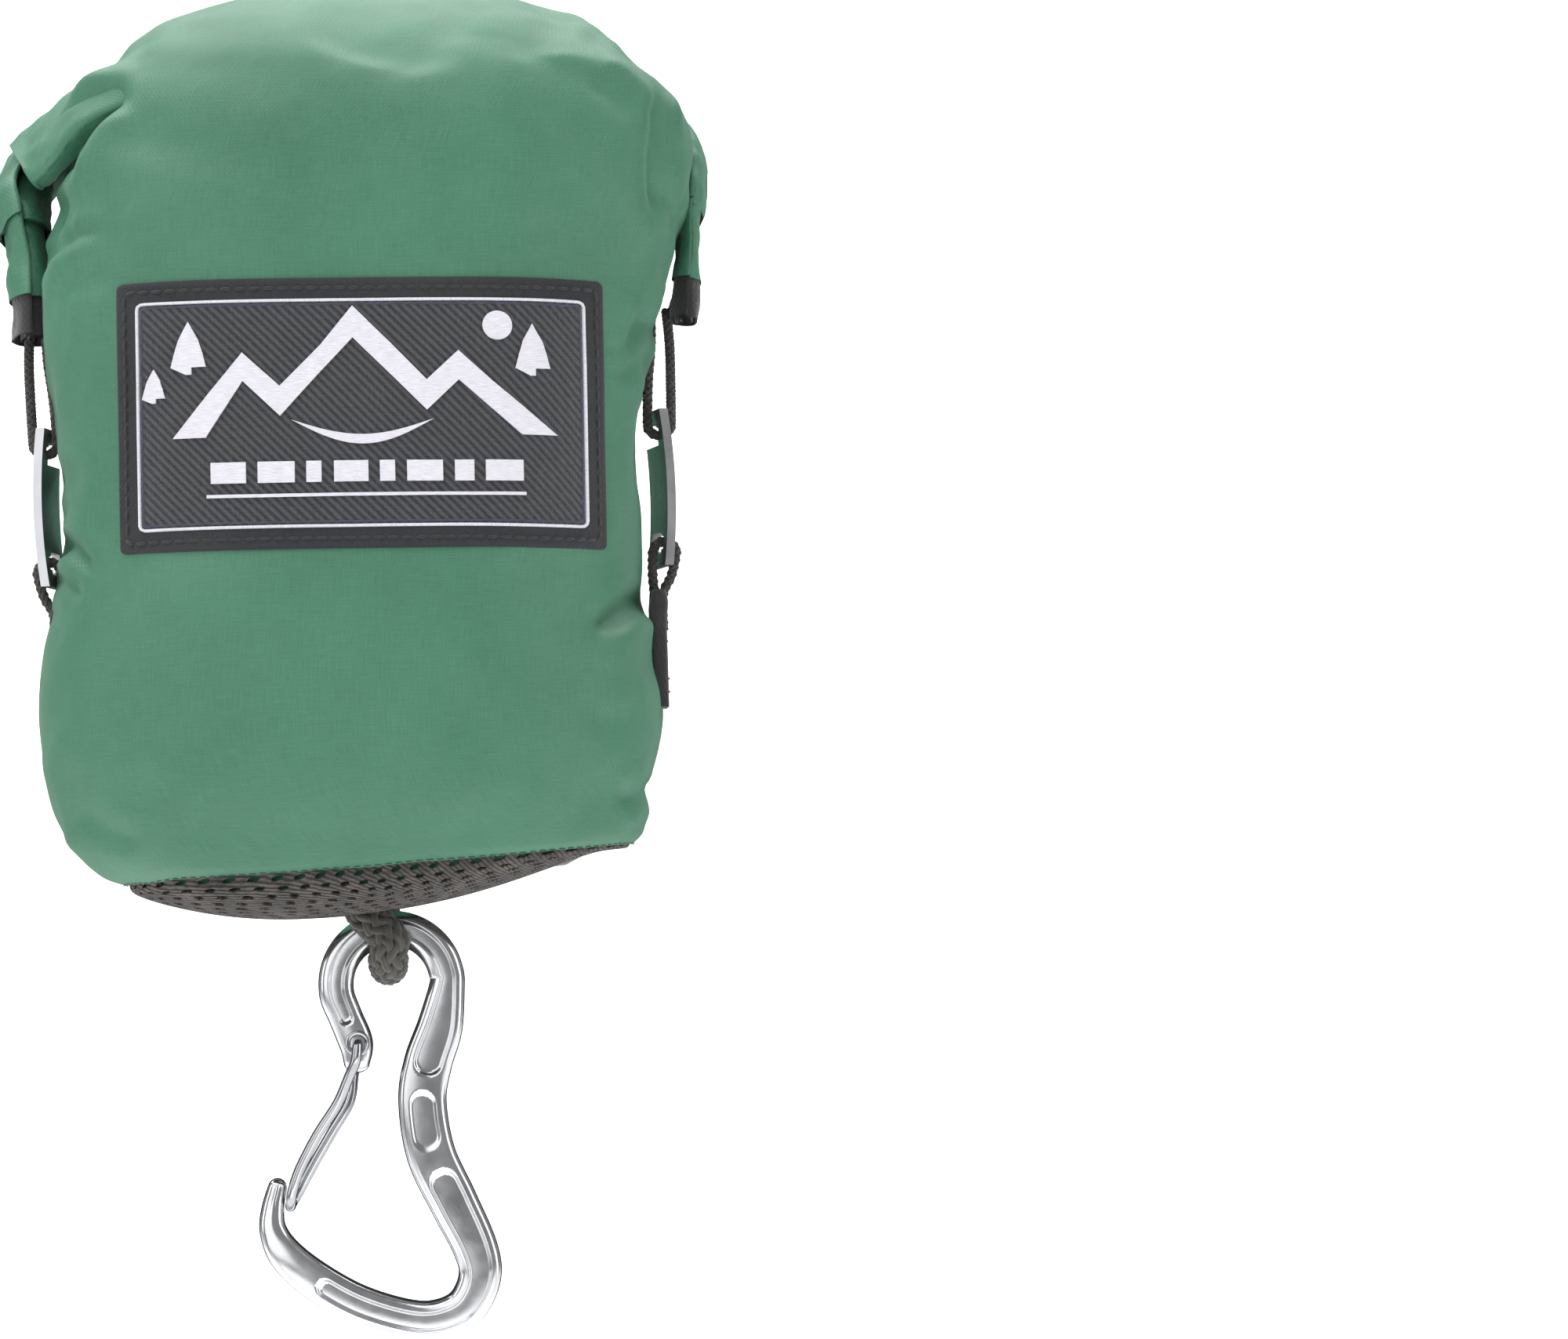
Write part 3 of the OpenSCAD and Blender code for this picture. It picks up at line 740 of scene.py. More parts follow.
def makeBraidTree():
    # strands that wind both ways along a curve, over and under each other
    tree, start, end = nodeTree("braid", [
        ("Strands", "NodeSocketInt", 8), ("Radius", "NodeSocketFloat", 0.004),
        ("Strand", "NodeSocketFloat", 0.001), ("Turns", "NodeSocketFloat", 60.0),
        ("Step", "NodeSocketFloat", 0.0004), ("Material", "NodeSocketMaterial", None)])
    even = place(tree, "GeometryNodeResampleCurve", {"mode": "LENGTH"}, Curve=start["Geometry"], Length=start["Step"])
    copies = place(tree, "GeometryNodeDuplicateElements", {"domain": "SPLINE"},
                   Geometry=even.outputs[0], Amount=start["Strands"])
    index = copies.outputs[1]
    run = place(tree, "GeometryNodeSplineParameter").outputs["Length"]
    other = calc(tree, "MODULO", index, 2.0)
    way = calc(tree, "SUBTRACT", 1.0, calc(tree, "MULTIPLY", other, 2.0))
    pairs = calc(tree, "DIVIDE", start["Strands"], 2.0)
    share = calc(tree, "DIVIDE", calc(tree, "FLOOR", calc(tree, "DIVIDE", index, 2.0)), pairs)
    turned = calc(tree, "MULTIPLY", calc(tree, "MULTIPLY", run, start["Turns"]), math.tau)
    angle = calc(tree, "ADD", calc(tree, "MULTIPLY", share, math.tau), calc(tree, "MULTIPLY", turned, way))
    wave = calc(tree, "COSINE", calc(tree, "MULTIPLY", turned, pairs))
    lift = calc(tree, "MULTIPLY", calc(tree, "MULTIPLY", wave, way), calc(tree, "MULTIPLY", start["Strand"], 0.42))
    radius = calc(tree, "ADD", start["Radius"], lift)
    normal = place(tree, "GeometryNodeInputNormal").outputs[0]
    tangent = place(tree, "GeometryNodeInputTangent").outputs[0]
    across = place(tree, "ShaderNodeVectorMath", {"operation": "CROSS_PRODUCT"}, i0=tangent, i1=normal).outputs[0]
    offset = summed(tree, scaled(tree, normal, calc(tree, "MULTIPLY", calc(tree, "COSINE", angle), radius)),
                    scaled(tree, across, calc(tree, "MULTIPLY", calc(tree, "SINE", angle), radius)))
    moved = place(tree, "GeometryNodeSetPosition", Geometry=copies.outputs[0], Offset=offset)
    kept = tree.nodes.new("GeometryNodeCaptureAttribute")
    kept.capture_items.new("FLOAT", "run")
    tree.links.new(moved.outputs[0], kept.inputs[0])
    tree.links.new(run, kept.inputs[1])
    profile = place(tree, "GeometryNodeCurvePrimitiveCircle", Resolution=8, Radius=start["Strand"])
    rounded = tree.nodes.new("GeometryNodeCaptureAttribute")
    rounded.capture_items.new("FLOAT", "round")
    tree.links.new(profile.outputs[0], rounded.inputs[0])
    tree.links.new(calc(tree, "MULTIPLY", place(tree, "GeometryNodeSplineParameter").outputs["Factor"], 0.006),
                   rounded.inputs[1])
    tubes = place(tree, "GeometryNodeCurveToMesh", Curve=kept.outputs[0], Fill_Caps=True)
    tree.links.new(rounded.outputs[0], tubes.inputs["Profile Curve"])
    joined = place(tree, "ShaderNodeCombineXYZ", X=rounded.outputs[1], Y=kept.outputs[1])
    named = place(tree, "GeometryNodeStoreNamedAttribute", {"data_type": "FLOAT2", "domain": "CORNER"},
                  Geometry=tubes.outputs[0], Name="lay", Value=joined.outputs[0])
    closeTree(tree, named.outputs[0], start, end)
    return tree


def makeHoleTree():
    # a round hole in every cell of the net
    tree, start, end = nodeTree("knitHoles", [
        ("Opening", "NodeSocketFloat", 0.5), ("Material", "NodeSocketMaterial", None)])
    cells = place(tree, "GeometryNodeDualMesh", Mesh=start["Geometry"], Keep_Boundaries=True)
    grown = place(tree, "GeometryNodeExtrudeMesh", {"mode": "FACES"}, Mesh=cells.outputs[0],
                  Offset_Scale=0.0, Individual=True)
    smaller = place(tree, "GeometryNodeScaleElements", {"domain": "FACE"}, Geometry=grown.outputs[0],
                    Selection=grown.outputs["Top"], Scale=start["Opening"])
    opened = place(tree, "GeometryNodeDeleteGeometry", {"domain": "FACE"}, Geometry=smaller.outputs[0],
                   Selection=grown.outputs["Top"])
    smooth = place(tree, "GeometryNodeSubdivisionSurface", Mesh=opened.outputs[0], Level=2)
    closeTree(tree, smooth.outputs[0], start, end)
    return tree


def makeStitchTree():
    # short threads lying along a curve, a little lifted at their middles
    tree, start, end = nodeTree("stitches", [
        ("Pitch", "NodeSocketFloat", 0.003), ("Long", "NodeSocketFloat", 0.002), ("Thick", "NodeSocketFloat", 0.0004),
        ("Material", "NodeSocketMaterial", None)])
    even = place(tree, "GeometryNodeCurveToPoints", {"mode": "LENGTH"}, Curve=start["Geometry"], Length=start["Pitch"])
    thread = place(tree, "GeometryNodeMeshUVSphere", Segments=10, Rings=10, Radius=1.0)
    size = place(tree, "ShaderNodeCombineXYZ", X=start["Thick"], Y=start["Thick"],
                 Z=calc(tree, "MULTIPLY", start["Long"], 0.5))
    shaped = place(tree, "GeometryNodeTransform", Geometry=thread.outputs[0], Scale=size.outputs[0])
    laid = place(tree, "GeometryNodeInstanceOnPoints", Points=even.outputs[0], Instance=shaped.outputs[0],
                 Rotation=even.outputs["Rotation"])
    closeTree(tree, laid.outputs[0], start, end)
    return tree


braidTree = makeBraidTree()
holeTree = makeHoleTree()
stitchTree = makeStitchTree()


def curveObject(name, runs, cyclic=False):
    data = bpy.data.curves.new(name, "CURVE")
    data.dimensions = "3D"
    data.twist_mode = "MINIMUM"
    for run in runs:
        spline = data.splines.new("POLY")
        spline.points.add(len(run) - 1)
        spline.points.foreach_set("co", np.concatenate([run, np.ones((len(run), 1))], 1).ravel())
        spline.use_cyclic_u = cyclic
    obj = bpy.data.objects.new(name, data)
    bpy.context.scene.collection.objects.link(obj)
    return obj


def braid(name, path, material, s):
    return runTree(curveObject(name, [path]), braidTree, material, Strands=s["strands"], Turns=s["turns"],
                   Radius=s["radius"], Strand=s["strand"], Step=s["step"])


def stitches(name, runs, material, s, cyclic=False):
    return runTree(curveObject(name, runs, cyclic), stitchTree, material, Pitch=s["pitch"], Long=s["long"],
                   Thick=s["thick"])


print("node trees ready")

finishPiece(frontPanel, greenNylon, "sack", "green_nylon", "front_panel")
finishPiece(backPanel, greenNylon, "sack", "green_nylon", "back_panel")
hem = {"up": 2, "out": 0.12, "thread": {"pitch": 0.0023, "long": 0.0017, "thick": 0.00017}}
hemRing = sackGrid[hem["up"]] / mm
hemRing = hemRing + gridNormals(sackGrid[:hem["up"] + 2] / mm)[hem["up"]] * hem["out"]
hemStitching = stitches("hemStitching", [hemRing * mm], greenThread, hem["thread"], True)
finishPiece(hemStitching, greenThread, "sack", "stitch_thread")

# ---- mesh base ----
base = {
    "low": -92.4,            # its lowest part, left of the middle
    "lowAt": -17,
    "rise": 0.0026,          # how it lifts to either side of that, per square mm
    "steep": 2.5,
    "holePitch": 5.3,
    "opening": 0.52,
    "port": (-1.0, 13.0),    # the rope's hole: its middle across and its radius
    "overlap": 1.6,          # how far the net runs up inside the panels
    "layRadius": 0.05,       # the radius, in metres, at which the knit is true to size
    "thick": 0.0011,
}


def baseBottom(x, s):
    away = x - s["lowAt"]
    return s["low"] + s["rise"] * away ** 2 * np.where(away > 0, 1.0, 1.2)


def baseRing(share, count, s, inset=0.0):
    # one ring of the base, from the rim at 0 to the rope's hole at 1
    rim = sackGrid[0] / mm
    start = np.linspace(0, len(rim), count, endpoint=False)
    index = np.arange(len(rim) + 1)
    closed = np.concatenate([rim, rim[:1]])
    edge = np.stack([np.interp(start, index, closed[:, k]) for k in range(3)], 1)
    middle = np.array([s["port"][0], midY / mm])
    out = edge[:, :2] - middle
    reach = np.linalg.norm(out, axis=1)[:, None]
    out = out / reach
    turn = share * math.pi / 2
    flat = math.cos(turn) ** (2 / s["steep"])
    down = math.sin(turn) ** (2 / s["steep"])
    hole = s["port"][1]
    across = middle + out * (hole + (reach - 0.8 - inset - hole) * flat)
    low = baseBottom(across[:, 0], s) + inset
    top = edge[:, 2] + (s["overlap"] if share == 0 else 0)
    low = np.minimum(low, edge[:, 2] - 1.0)
    height = top + (low - top) * down
    return np.column_stack([across, height])


def layRound(mesh, radius):
    # UVs that run inwards and round the base, for the knit's rows
    spots = np.empty(len(mesh.vertices) * 3, np.float32)
    mesh.vertices.foreach_get("co", spots)
    spots = spots.reshape(-1, 3)
    corners = np.empty(len(mesh.loops), np.int32)
    mesh.loops.foreach_get("vertex_index", corners)
    deep = spots[:, 1] - midY
    laid = np.column_stack([spots[:, 2] + np.hypot(spots[:, 0], deep), np.arctan2(deep, spots[:, 0]) * radius])
    mesh.uv_layers.new(name="lay").data.foreach_set("uv", laid[corners].astype(np.float32).ravel())


def buildBase(s):
    shares = [0, 0.05, 0.16, 0.28, 0.40, 0.51, 0.61, 0.70, 0.78, 0.85, 0.91, 0.96, 1.0]
    rings = []
    for share in shares:
        probe = baseRing(share, 64, s)
        around = np.linalg.norm(probe - np.roll(probe, 1, 0), axis=1).sum()
        rings.append(baseRing(share, max(10, round(around / s["holePitch"])), s))
    verts, faces, starts = np.concatenate(rings), [], []
    first = 0
    for ring in rings:
        starts.append(first)
        first += len(ring)
    for k in range(len(rings) - 1):
        a, b = len(rings[k]), len(rings[k + 1])
        i = j = 0
        nudge = 0.0005 * (k % 2)     # settles a tie the other way in every second row
        while i < a or j < b:
            if j >= b or (i < a and (i + 1) / a <= (j + 1 + nudge) / b):
                faces.append((starts[k] + i % a, starts[k + 1] + j % b, starts[k] + (i + 1) % a))
                i += 1
            else:
                faces.append((starts[k] + i % a, starts[k + 1] + j % b, starts[k + 1] + (j + 1) % b))
                j += 1
    net = runTree(meshObject("baseMesh", verts * mm, faces), holeTree, knitMaterial, Opening=s["opening"])
    layRound(net.data, s["layRadius"])
    useModifier(net, "SOLIDIFY", thickness=s["thick"], offset=0.0)
    applyAll(net)
    return net


baseNet = buildBase(base)
finishPiece(baseNet, knitMaterial, "sack", "knit_mesh", "base_mesh")
print("base ready", len(baseNet.data.polygons))

# ---- rolled mouth ----
mouth = {
    # across, front to back and up for the roll's middle, then its half depth and half thickness, in mm
    "leftPath": [(0, -13.5, 97.5, 10.5, 10.5), (-30, -13.5, 97.2, 10.5, 10.5), (-50, -14.5, 96, 10.5, 9.5),
                 (-63, -17.5, 91, 11.0, 8.5), (-71, -25, 82, 12.0, 7.6), (-73.4, -34, 74, 12.5, 7.0),
                 (-72.6, -40.5, 66, 12.5, 6.6), (-71.6, -43.5, 58.5, 11.0, 5.6), (-71.4, -44.5, 52, 11.5, 6.6),
                 (-71.4, -45, 45.5, 12.0, 7.2)],
    "rightPath": [(0, -13.5, 97.5, 10.5, 10.5), (30, -13.5, 97.2, 10.5, 10.5), (52, -14.5, 96.5, 10.5, 9.5),
                  (66, -18, 94, 11.0, 8.0), (76, -25, 87.5, 12.0, 6.6), (79.4, -33, 79, 12.5, 5.6),
                  (79.6, -40, 71, 12.5, 5.0), (78.8, -43, 64, 11.0, 3.9), (78.4, -44.5, 56, 11.0, 3.9),
                  (77.4, -45, 45.5, 11.5, 5.0)],
    "turns": 2.6,
    "roundSteps": 84,
    "alongSteps": 150,
    "hemShare": 0.22,        # the hem's core, as a share of the roll's size
    "foldAt": 0.845,         # where the wide sleeve of an ear ends, as a share of the route
}


def spiralLoop(s, layer):
    # a closed outline of one strip of cloth, rolled up; 1 is the roll's outside
    turn = np.linspace(0, s["turns"] * math.tau, s["roundSteps"])
    size = 1 - 0.74 * (turn / turn[-1]) ** 0.9
    face = np.column_stack([np.cos(turn), np.sin(turn)]) * size[:, None]
    inner = face * (1 - layer / size)[:, None]
    return np.concatenate([face, inner[::-1]])


def sweepRoll(name, route, s, first, last, layer, extra=0.0, tight=1.0, seed=5):
    # the part of a rolled strip between two shares of the route's length
    run = smoothRun(route, 14)
    path, size = run[:, :3], run[:, 3:]
    lengths = lengthAlong(path)
    count = max(8, int(s["alongSteps"] * (last - first)))
    at = np.linspace(first, last, count) * lengths[-1]
    path = np.stack([np.interp(at, lengths, path[:, k]) for k in range(3)], 1)
    size = tight * np.stack([np.interp(at, lengths, size[:, k]) for k in range(2)], 1)
    heading, side, over = pathFrames(path, (0, -1, 0))
    if extra:
        path = path + heading * np.linspace(0, extra, count)[:, None]
    loop = spiralLoop(s, layer)
    # the roll's edge lies to the rear at its middle and outwards at its ears
    grid = path[:, None] + side[:, None] * (loop[None, :, :1] * size[:, None, :1]) \
        + over[:, None] * (loop[None, :, 1:] * size[:, None, 1:])
    flat = grid.reshape(-1, 3)
    out = flat - np.repeat(path, len(loop), 0)
    out /= np.maximum(np.linalg.norm(out, axis=1), 1e-6)[:, None]
    ear = smoothStep(56, 70, np.abs(flat[:, 0]))
    push = (0.3 + 1.1 * ear) * ripple(flat, 9, seed) + 0.7 * ear * ripple(flat, 4.2, seed + 1, (1, 1, 0.75))
    push += 0.35 * ear * ripple(flat, 2.4, seed + 2, (1, 1, 0.6))
    flat = flat + out * push[:, None]
    flat[:, 1] = np.minimum(flat[:, 1], -0.3)
    return gridMesh(name, flat.reshape(grid.shape) * mm, closedAcross=True)


rollParts, hemParts = [], []
for sideName, route in (("Left", mouth["leftPath"]), ("Right", mouth["rightPath"])):
    inner = sweepRoll("roll" + sideName, route, mouth, 0.0, 0.52, 0.07)
    # the ear is folded over itself: a wide sleeve, then a narrower one, then the tape
    upper = sweepRoll("earUpper", route, mouth, 0.52, mouth["foldAt"], 0.075, 0.0, 1.04)
    lower = sweepRoll("earLower", route, mouth, mouth["foldAt"] - 0.05, 0.965, 0.075, 0.0, 0.9, 11)
    tape = sweepRoll("earTape" + sideName, route, mouth, 0.93, 1.0, 0.045, 4.5, 0.80, 11)
    # the mouth's doubled hem, at the roll's core
    core = sweepRoll("hemCore", route, mouth, 0.0, 0.92, 0.05, 0.0, mouth["hemShare"])
    for piece in (inner, upper, lower, tape, core):
        facesOut(piece)
    rollParts.append(inner)
    hemParts.append(core)
    ear = joinPieces("ear" + sideName, [upper, lower])
    finishPiece(ear, greenNylon, "sack", "green_nylon", "ear_" + sideName.lower())
    finishPiece(tape, darkTape, "sack", "dark_webbing", "ear_tape_" + sideName.lower())
rollTop = joinPieces("rollTop", rollParts)
finishPiece(rollTop, greenNylon, "sack", "green_nylon", "roll_top")
hemTape = joinPieces("hemTape", hemParts)
finishPiece(hemTape, darkTape, "sack", "dark_webbing", "hem_tape")

# the left shoulder's cloth is drawn out over its ear and folds under itself
shoulder = {
    # rows from the dome outwards; each runs from under the fold over its edge, ridge and top to the rear
    "rows": [[(-46, -72, 88), (-47, -77, 91.5), (-50, -68, 97), (-51, -46, 103), (-50, -24, 101)],
             [(-56.5, -66, 83.5), (-58.0, -71.5, 86.2), (-60, -63, 91), (-60.5, -44, 98.3), (-59, -20, 96)],
             [(-63.5, -58, 77.5), (-65.0, -63.5, 79.8), (-66.5, -55, 86.5), (-67.2, -41, 93.8), (-65, -19, 91)],
             [(-67.5, -50, 75.2), (-69.6, -56, 77.0), (-71.5, -49, 84), (-72.4, -39, 90), (-69.5, -20, 86)],
             [(-69.8, -48, 76.2), (-71.6, -53, 78.4), (-74.2, -47.5, 82.6), (-76.0, -39, 86.6), (-73.5, -22, 82)]],
    "thick": 0.0008,
    "sink": 1.6,             # how deep its root lies in the dome, in mm
}


def buildShoulder(s):
    dome = bmesh.new()
    dome.from_mesh(frontPanel.data)
    dome.from_mesh(backPanel.data)
    tree = BVHTree.FromBMesh(dome)
    dome.free()
    rows = np.array(s["rows"], float)
    root = []
    for point in rows[0]:
        spot = tree.find_nearest(Vector(point) * mm)[0]
        out = Vector((spot.x, spot.y - midY, spot.z - 0.04)).normalized()
        root.append(tuple((spot - out * s["sink"] * mm) / mm))
    rows[0] = root
    tall = np.stack([smoothRun(rows[:, k], 12) for k in range(rows.shape[1])], 1)
    full = np.stack([smoothRun(row, 12) for row in tall], 0)
    flat = full.reshape(-1, 3)
    out = gridNormals(full).reshape(-1, 3)
    out *= np.where(((flat - np.array([-30, midY / mm, 60])) * out).sum(1) < 0, -1, 1)[:, None]
    push = 0.5 * ripple(flat, 9, 21) + 0.35 * ripple(flat, 4.5, 22)
    flat = flat + out * push[:, None]
    cloth = gridMesh("shoulderFold", flat.reshape(full.shape) * mm)
    useModifier(cloth, "SOLIDIFY", thickness=s["thick"], offset=0.0)
    applyAll(cloth)
    facesOut(cloth)
    return cloth


shoulderFold = buildShoulder(shoulder)
finishPiece(shoulderFold, greenNylon, "sack", "green_nylon")
print("rolled mouth ready")

# ---- label ----
label = {
    "middle": (2.1, 17.0), "size": (107.0, 59.6), "turn": -1.1, "corner": 1.5, "border": 5.1,
    "backing": 0.95,         # how far each layer stands off the sack
    "face": 1.25,
    "mark": 1.75,
    "stitch": {"pitch": 0.0031, "long": 0.0024, "thick": 0.00038},
    "stitchInset": 2.2,
    "coverStep": 2.5,        # how finely the sack under the label is read, in mm
}


def coverField(step):
    # how far forward the cloth lies under the label, smoothed as a stiff patch bridges it
    panel = bmesh.new()
    panel.from_mesh(frontPanel.data)
    tree = BVHTree.FromBMesh(panel)
    panel.free()
    xs, zs = np.arange(-66, 70.1, step), np.arange(-24, 58.1, step)
    field = np.zeros((len(zs), len(xs)))
    for i, z in enumerate(zs):
        for j, x in enumerate(xs):
            hit = tree.ray_cast(Vector((x * mm, -0.3, z * mm)), Vector((0, 1, 0)))[0]
            field[i, j] = hit.y / mm if hit else midY / mm
    smooth = field
    for turn in range(5):
        wide = np.pad(smooth, 1, mode="edge")
        smooth = (wide[:-2, 1:-1] + wide[2:, 1:-1] + wide[1:-1, :-2] + wide[1:-1, 2:] + 4 * wide[1:-1, 1:-1]) / 8
        smooth = np.minimum(smooth, field) if turn == 1 else smooth
    return xs, zs, smooth


coverXs, coverZs, cover = coverField(label["coverStep"])


def coverAt(x, z):
    fx = np.clip((x - coverXs[0]) / label["coverStep"], 0, len(coverXs) - 1.001)
    fz = np.clip((z - coverZs[0]) / label["coverStep"], 0, len(coverZs) - 1.001)
    i, j = fz.astype(int), fx.astype(int)
    a, b = fz - i, fx - j
    a, b = a * a * (3 - 2 * a) * 0.5 + a * 0.5, b * b * (3 - 2 * b) * 0.5 + b * 0.5
    return ((1 - a) * (1 - b) * cover[i, j] + (1 - a) * b * cover[i, j + 1]
            + a * (1 - b) * cover[i + 1, j] + a * b * cover[i + 1, j + 1])


def onLabel(flat, lift, s=label):
    # label positions (across, up) in mm to points in metres, standing off the sack by lift
    flat = np.asarray(flat, float)
    turn = math.radians(s["turn"])
    x = s["middle"][0] + flat[..., 0] * math.cos(turn) - flat[..., 1] * math.sin(turn)
    z = s["middle"][1] + flat[..., 0] * math.sin(turn) + flat[..., 1] * math.cos(turn)
    y = coverAt(x, z)
    slopeX = (coverAt(x + 1.5, z) - coverAt(x - 1.5, z)) / 3
    slopeZ = (coverAt(x, z + 1.5) - coverAt(x, z - 1.5)) / 3
    long = np.sqrt(1 + slopeX ** 2 + slopeZ ** 2)
    return np.stack([x + lift * slopeX / long, y - lift / long, z + lift * slopeZ / long], -1) * mm


def labelSlab(name, size, corner, low, high, step, soft=0.0):
    # a patch with rounded corners and rolled edges
    a, b = size[0] / 2, size[1] / 2
    edge = [0.0, 0.06, 0.18, 0.4, 0.75, 1.2]
    us = np.concatenate([-a + np.array(edge), np.arange(-a + 2, a - 2, step), a - np.array(edge[::-1])])
    vs = np.concatenate([-b + np.array(edge), np.arange(-b + 2, b - 2, step), b - np.array(edge[::-1])])
    u, v = np.meshgrid(us, vs)
    # pull the corners in
    outU, outV = np.maximum(np.abs(u) - (a - corner), 0), np.maximum(np.abs(v) - (b - corner), 0)
    long = np.hypot(outU, outV)
    widest = np.maximum(np.maximum(outU, outV), 1e-9)
    shrink = np.where((outU > 0) & (outV > 0), widest / np.maximum(long, 1e-9), 1)
    u = np.sign(u) * np.where(outU > 0, a - corner + outU * shrink, np.abs(u))
    v = np.sign(v) * np.where(outV > 0, b - corner + outV * shrink, np.abs(v))
    inside = corner - np.where((outU > 0) & (outV > 0), widest, np.maximum(outU, outV))
    inside = np.where(np.maximum(outU, outV) > 0, inside, corner)
    raised = np.sqrt(1 - (1 - np.clip(inside / 0.75, 0, 1)) ** 2)
    lift = low + (high - low) * raised
    if soft:
        spots = np.column_stack([u.ravel(), v.ravel(), np.zeros(u.size)])
        lift = lift + soft * raised * ripple(spots, 14, 31).reshape(u.shape)
    return gridMesh(name, onLabel(np.stack([u, v], -1), lift))


def ribbon(name, path, width, low, high):
    # a raised thread along a closed outline given in mm
    heading = np.roll(path, -1, 0) - np.roll(path, 1, 0)
    heading /= np.linalg.norm(heading, axis=1)[:, None]
    side = np.column_stack([-heading[:, 1], heading[:, 0]])
    turn = np.linspace(0, math.pi, 7)
    flat = path[:, None] + side[:, None] * (np.cos(turn) * width / 2)[None, :, None]
    lift = low + (high - low) * np.sin(turn)[None, :] ** 0.7 + np.zeros((len(path), 1))
    return gridMesh(name, onLabel(flat, lift), closedAlong=True, flip=True)


def roundedBox(width, height, radius, step=0.8):
    a, b = width / 2 - radius, height / 2 - radius
    points = []
    for middle, start in (((a, b), 0), ((-a, b), 90), ((-a, -b), 180), ((a, -b), 270)):
        points += [(middle[0] + radius * math.cos(math.radians(start + t)),
                    middle[1] + radius * math.sin(math.radians(start + t))) for t in range(0, 91, 15)]
    closed = np.array(points + points[:1])
    run = lengthAlong(closed)
    at = np.linspace(0, run[-1], int(run[-1] / step), endpoint=False)
    return np.stack([np.interp(at, run, closed[:, k]) for k in (0, 1)], 1)


def satinShape(outline, low, high):
    # a filled shape in raised satin weave
    shape = bmesh.new()
    verts = [shape.verts.new((u, v, 0)) for u, v in outline]
    shape.faces.new(verts)
    bmesh.ops.triangulate(shape, faces=shape.faces[:])
    for turn in range(5):
        long = [e for e in shape.edges if e.calc_length() > 1.6]
        if not long:
            break
        bmesh.ops.subdivide_edges(shape, edges=long, cuts=1)
        bmesh.ops.triangulate(shape, faces=shape.faces[:])
    flat = np.array([v.co[:2] for v in shape.verts])
    faces = [[v.index for v in f.verts] for f in shape.faces]
    edges = {tuple(sorted((e.verts[0].index, e.verts[1].index))) for e in shape.edges if e.is_boundary}
    shape.free()
    count = len(flat)
    points = np.concatenate([onLabel(flat, high), onLabel(flat, low)])
    area = sum((flat[f[1]] - flat[f[0]])[0] * (flat[f[2]] - flat[f[0]])[1]
               - (flat[f[1]] - flat[f[0]])[1] * (flat[f[2]] - flat[f[0]])[0] for f in faces)
    if area < 0:
        faces = [f[::-1] for f in faces]
    sides = []
    for f in faces:
        for a, b in zip(f, f[1:] + f[:1]):
            if tuple(sorted((a, b))) in edges:
                sides.append((b, a, a + count, b + count))
    uvs = np.concatenate([flat, flat]) * mm
    return meshObject("satin", points, faces + sides, uvs, smooth=False)


def makeLabelFace():
    material, tree, shader = newMaterial("labelWeave", Roughness=0.8, **{"Sheen Weight": 0.25})
    split = tree.nodes.new("ShaderNodeSeparateXYZ")
    tree.links.new(coordinates(tree, "UV"), split.inputs[0])
    diagonal = calc(tree, "ADD", split.outputs[0], split.outputs[1])
    wave = calc(tree, "SINE", calc(tree, "MULTIPLY", diagonal, math.tau / 0.0021))
    weave = placeGroup(tree, weaveGroup, coordinates(tree, "UV"), Pitch=0.00045)
    height = calc(tree, "ADD", calc(tree, "MULTIPLY", wave, 0.35), weave.outputs["Height"])
    # the twill's diagonal ribs also make the colour lighter on their raised crests and darker in the grooves between
    # them: painted highlight and painted shade, added to the weave's own slub tone
    tone = calc(tree, "MULTIPLY_ADD", wave, 0.2, weave.outputs["Tone"])
    tree.links.new(ramp(tree, tone, (0.28, (0.008, 0.009, 0.010)), (0.72, (0.062, 0.066, 0.072))),
                   shader.inputs["Base Color"])
    addBump(tree, shader, height, 0.00018)
    return material


def makeSatin():
    material, tree, shader = newMaterial("labelSatin", Roughness=0.45, **{"Sheen Weight": 0.3})
    thread = noiseNode(tree, coordinates(tree, "UV"), 1, 4, 0.7, (400, 5200, 1))
    shade = ramp(tree, thread, (0.3, (0.50, 0.49, 0.55)), (0.7, (0.80, 0.78, 0.84)))
    tree.links.new(shade, shader.inputs["Base Color"])
    addBump(tree, shader, thread, 0.0001)
    return material


labelWeave = makeLabelFace()
satin = makeSatin()

backing = labelSlab("labelBacking", label["size"], label["corner"], -0.1, label["backing"], 0.9, 0.12)
finishPiece(backing, labelCloth, "sack", "label_cloth", "label_backing")
inner = (label["size"][0] - 2 * label["border"], label["size"][1] - 2 * label["border"])
face = labelSlab("labelFace", inner, 1.0, label["backing"] - 0.3, label["face"], 0.8, 0.08)
finishPiece(face, labelWeave, "sack", "label_weave", "label_face")

border = ribbon("labelBorder", roundedBox(inner[0] + 0.3, inner[1] + 0.3, 1.1), 0.75,
                label["backing"] - 0.2, label["face"] + 0.35)
finishPiece(border, satin, "sack", "label_thread")
shadow = ribbon("labelShadow", roundedBox(inner[0] - 1.5, inner[1] - 1.5, 0.9), 0.55,
                label["face"] - 0.2, label["face"] + 0.18)
finishPiece(shadow, navyThread, "sack", "stitch_thread")

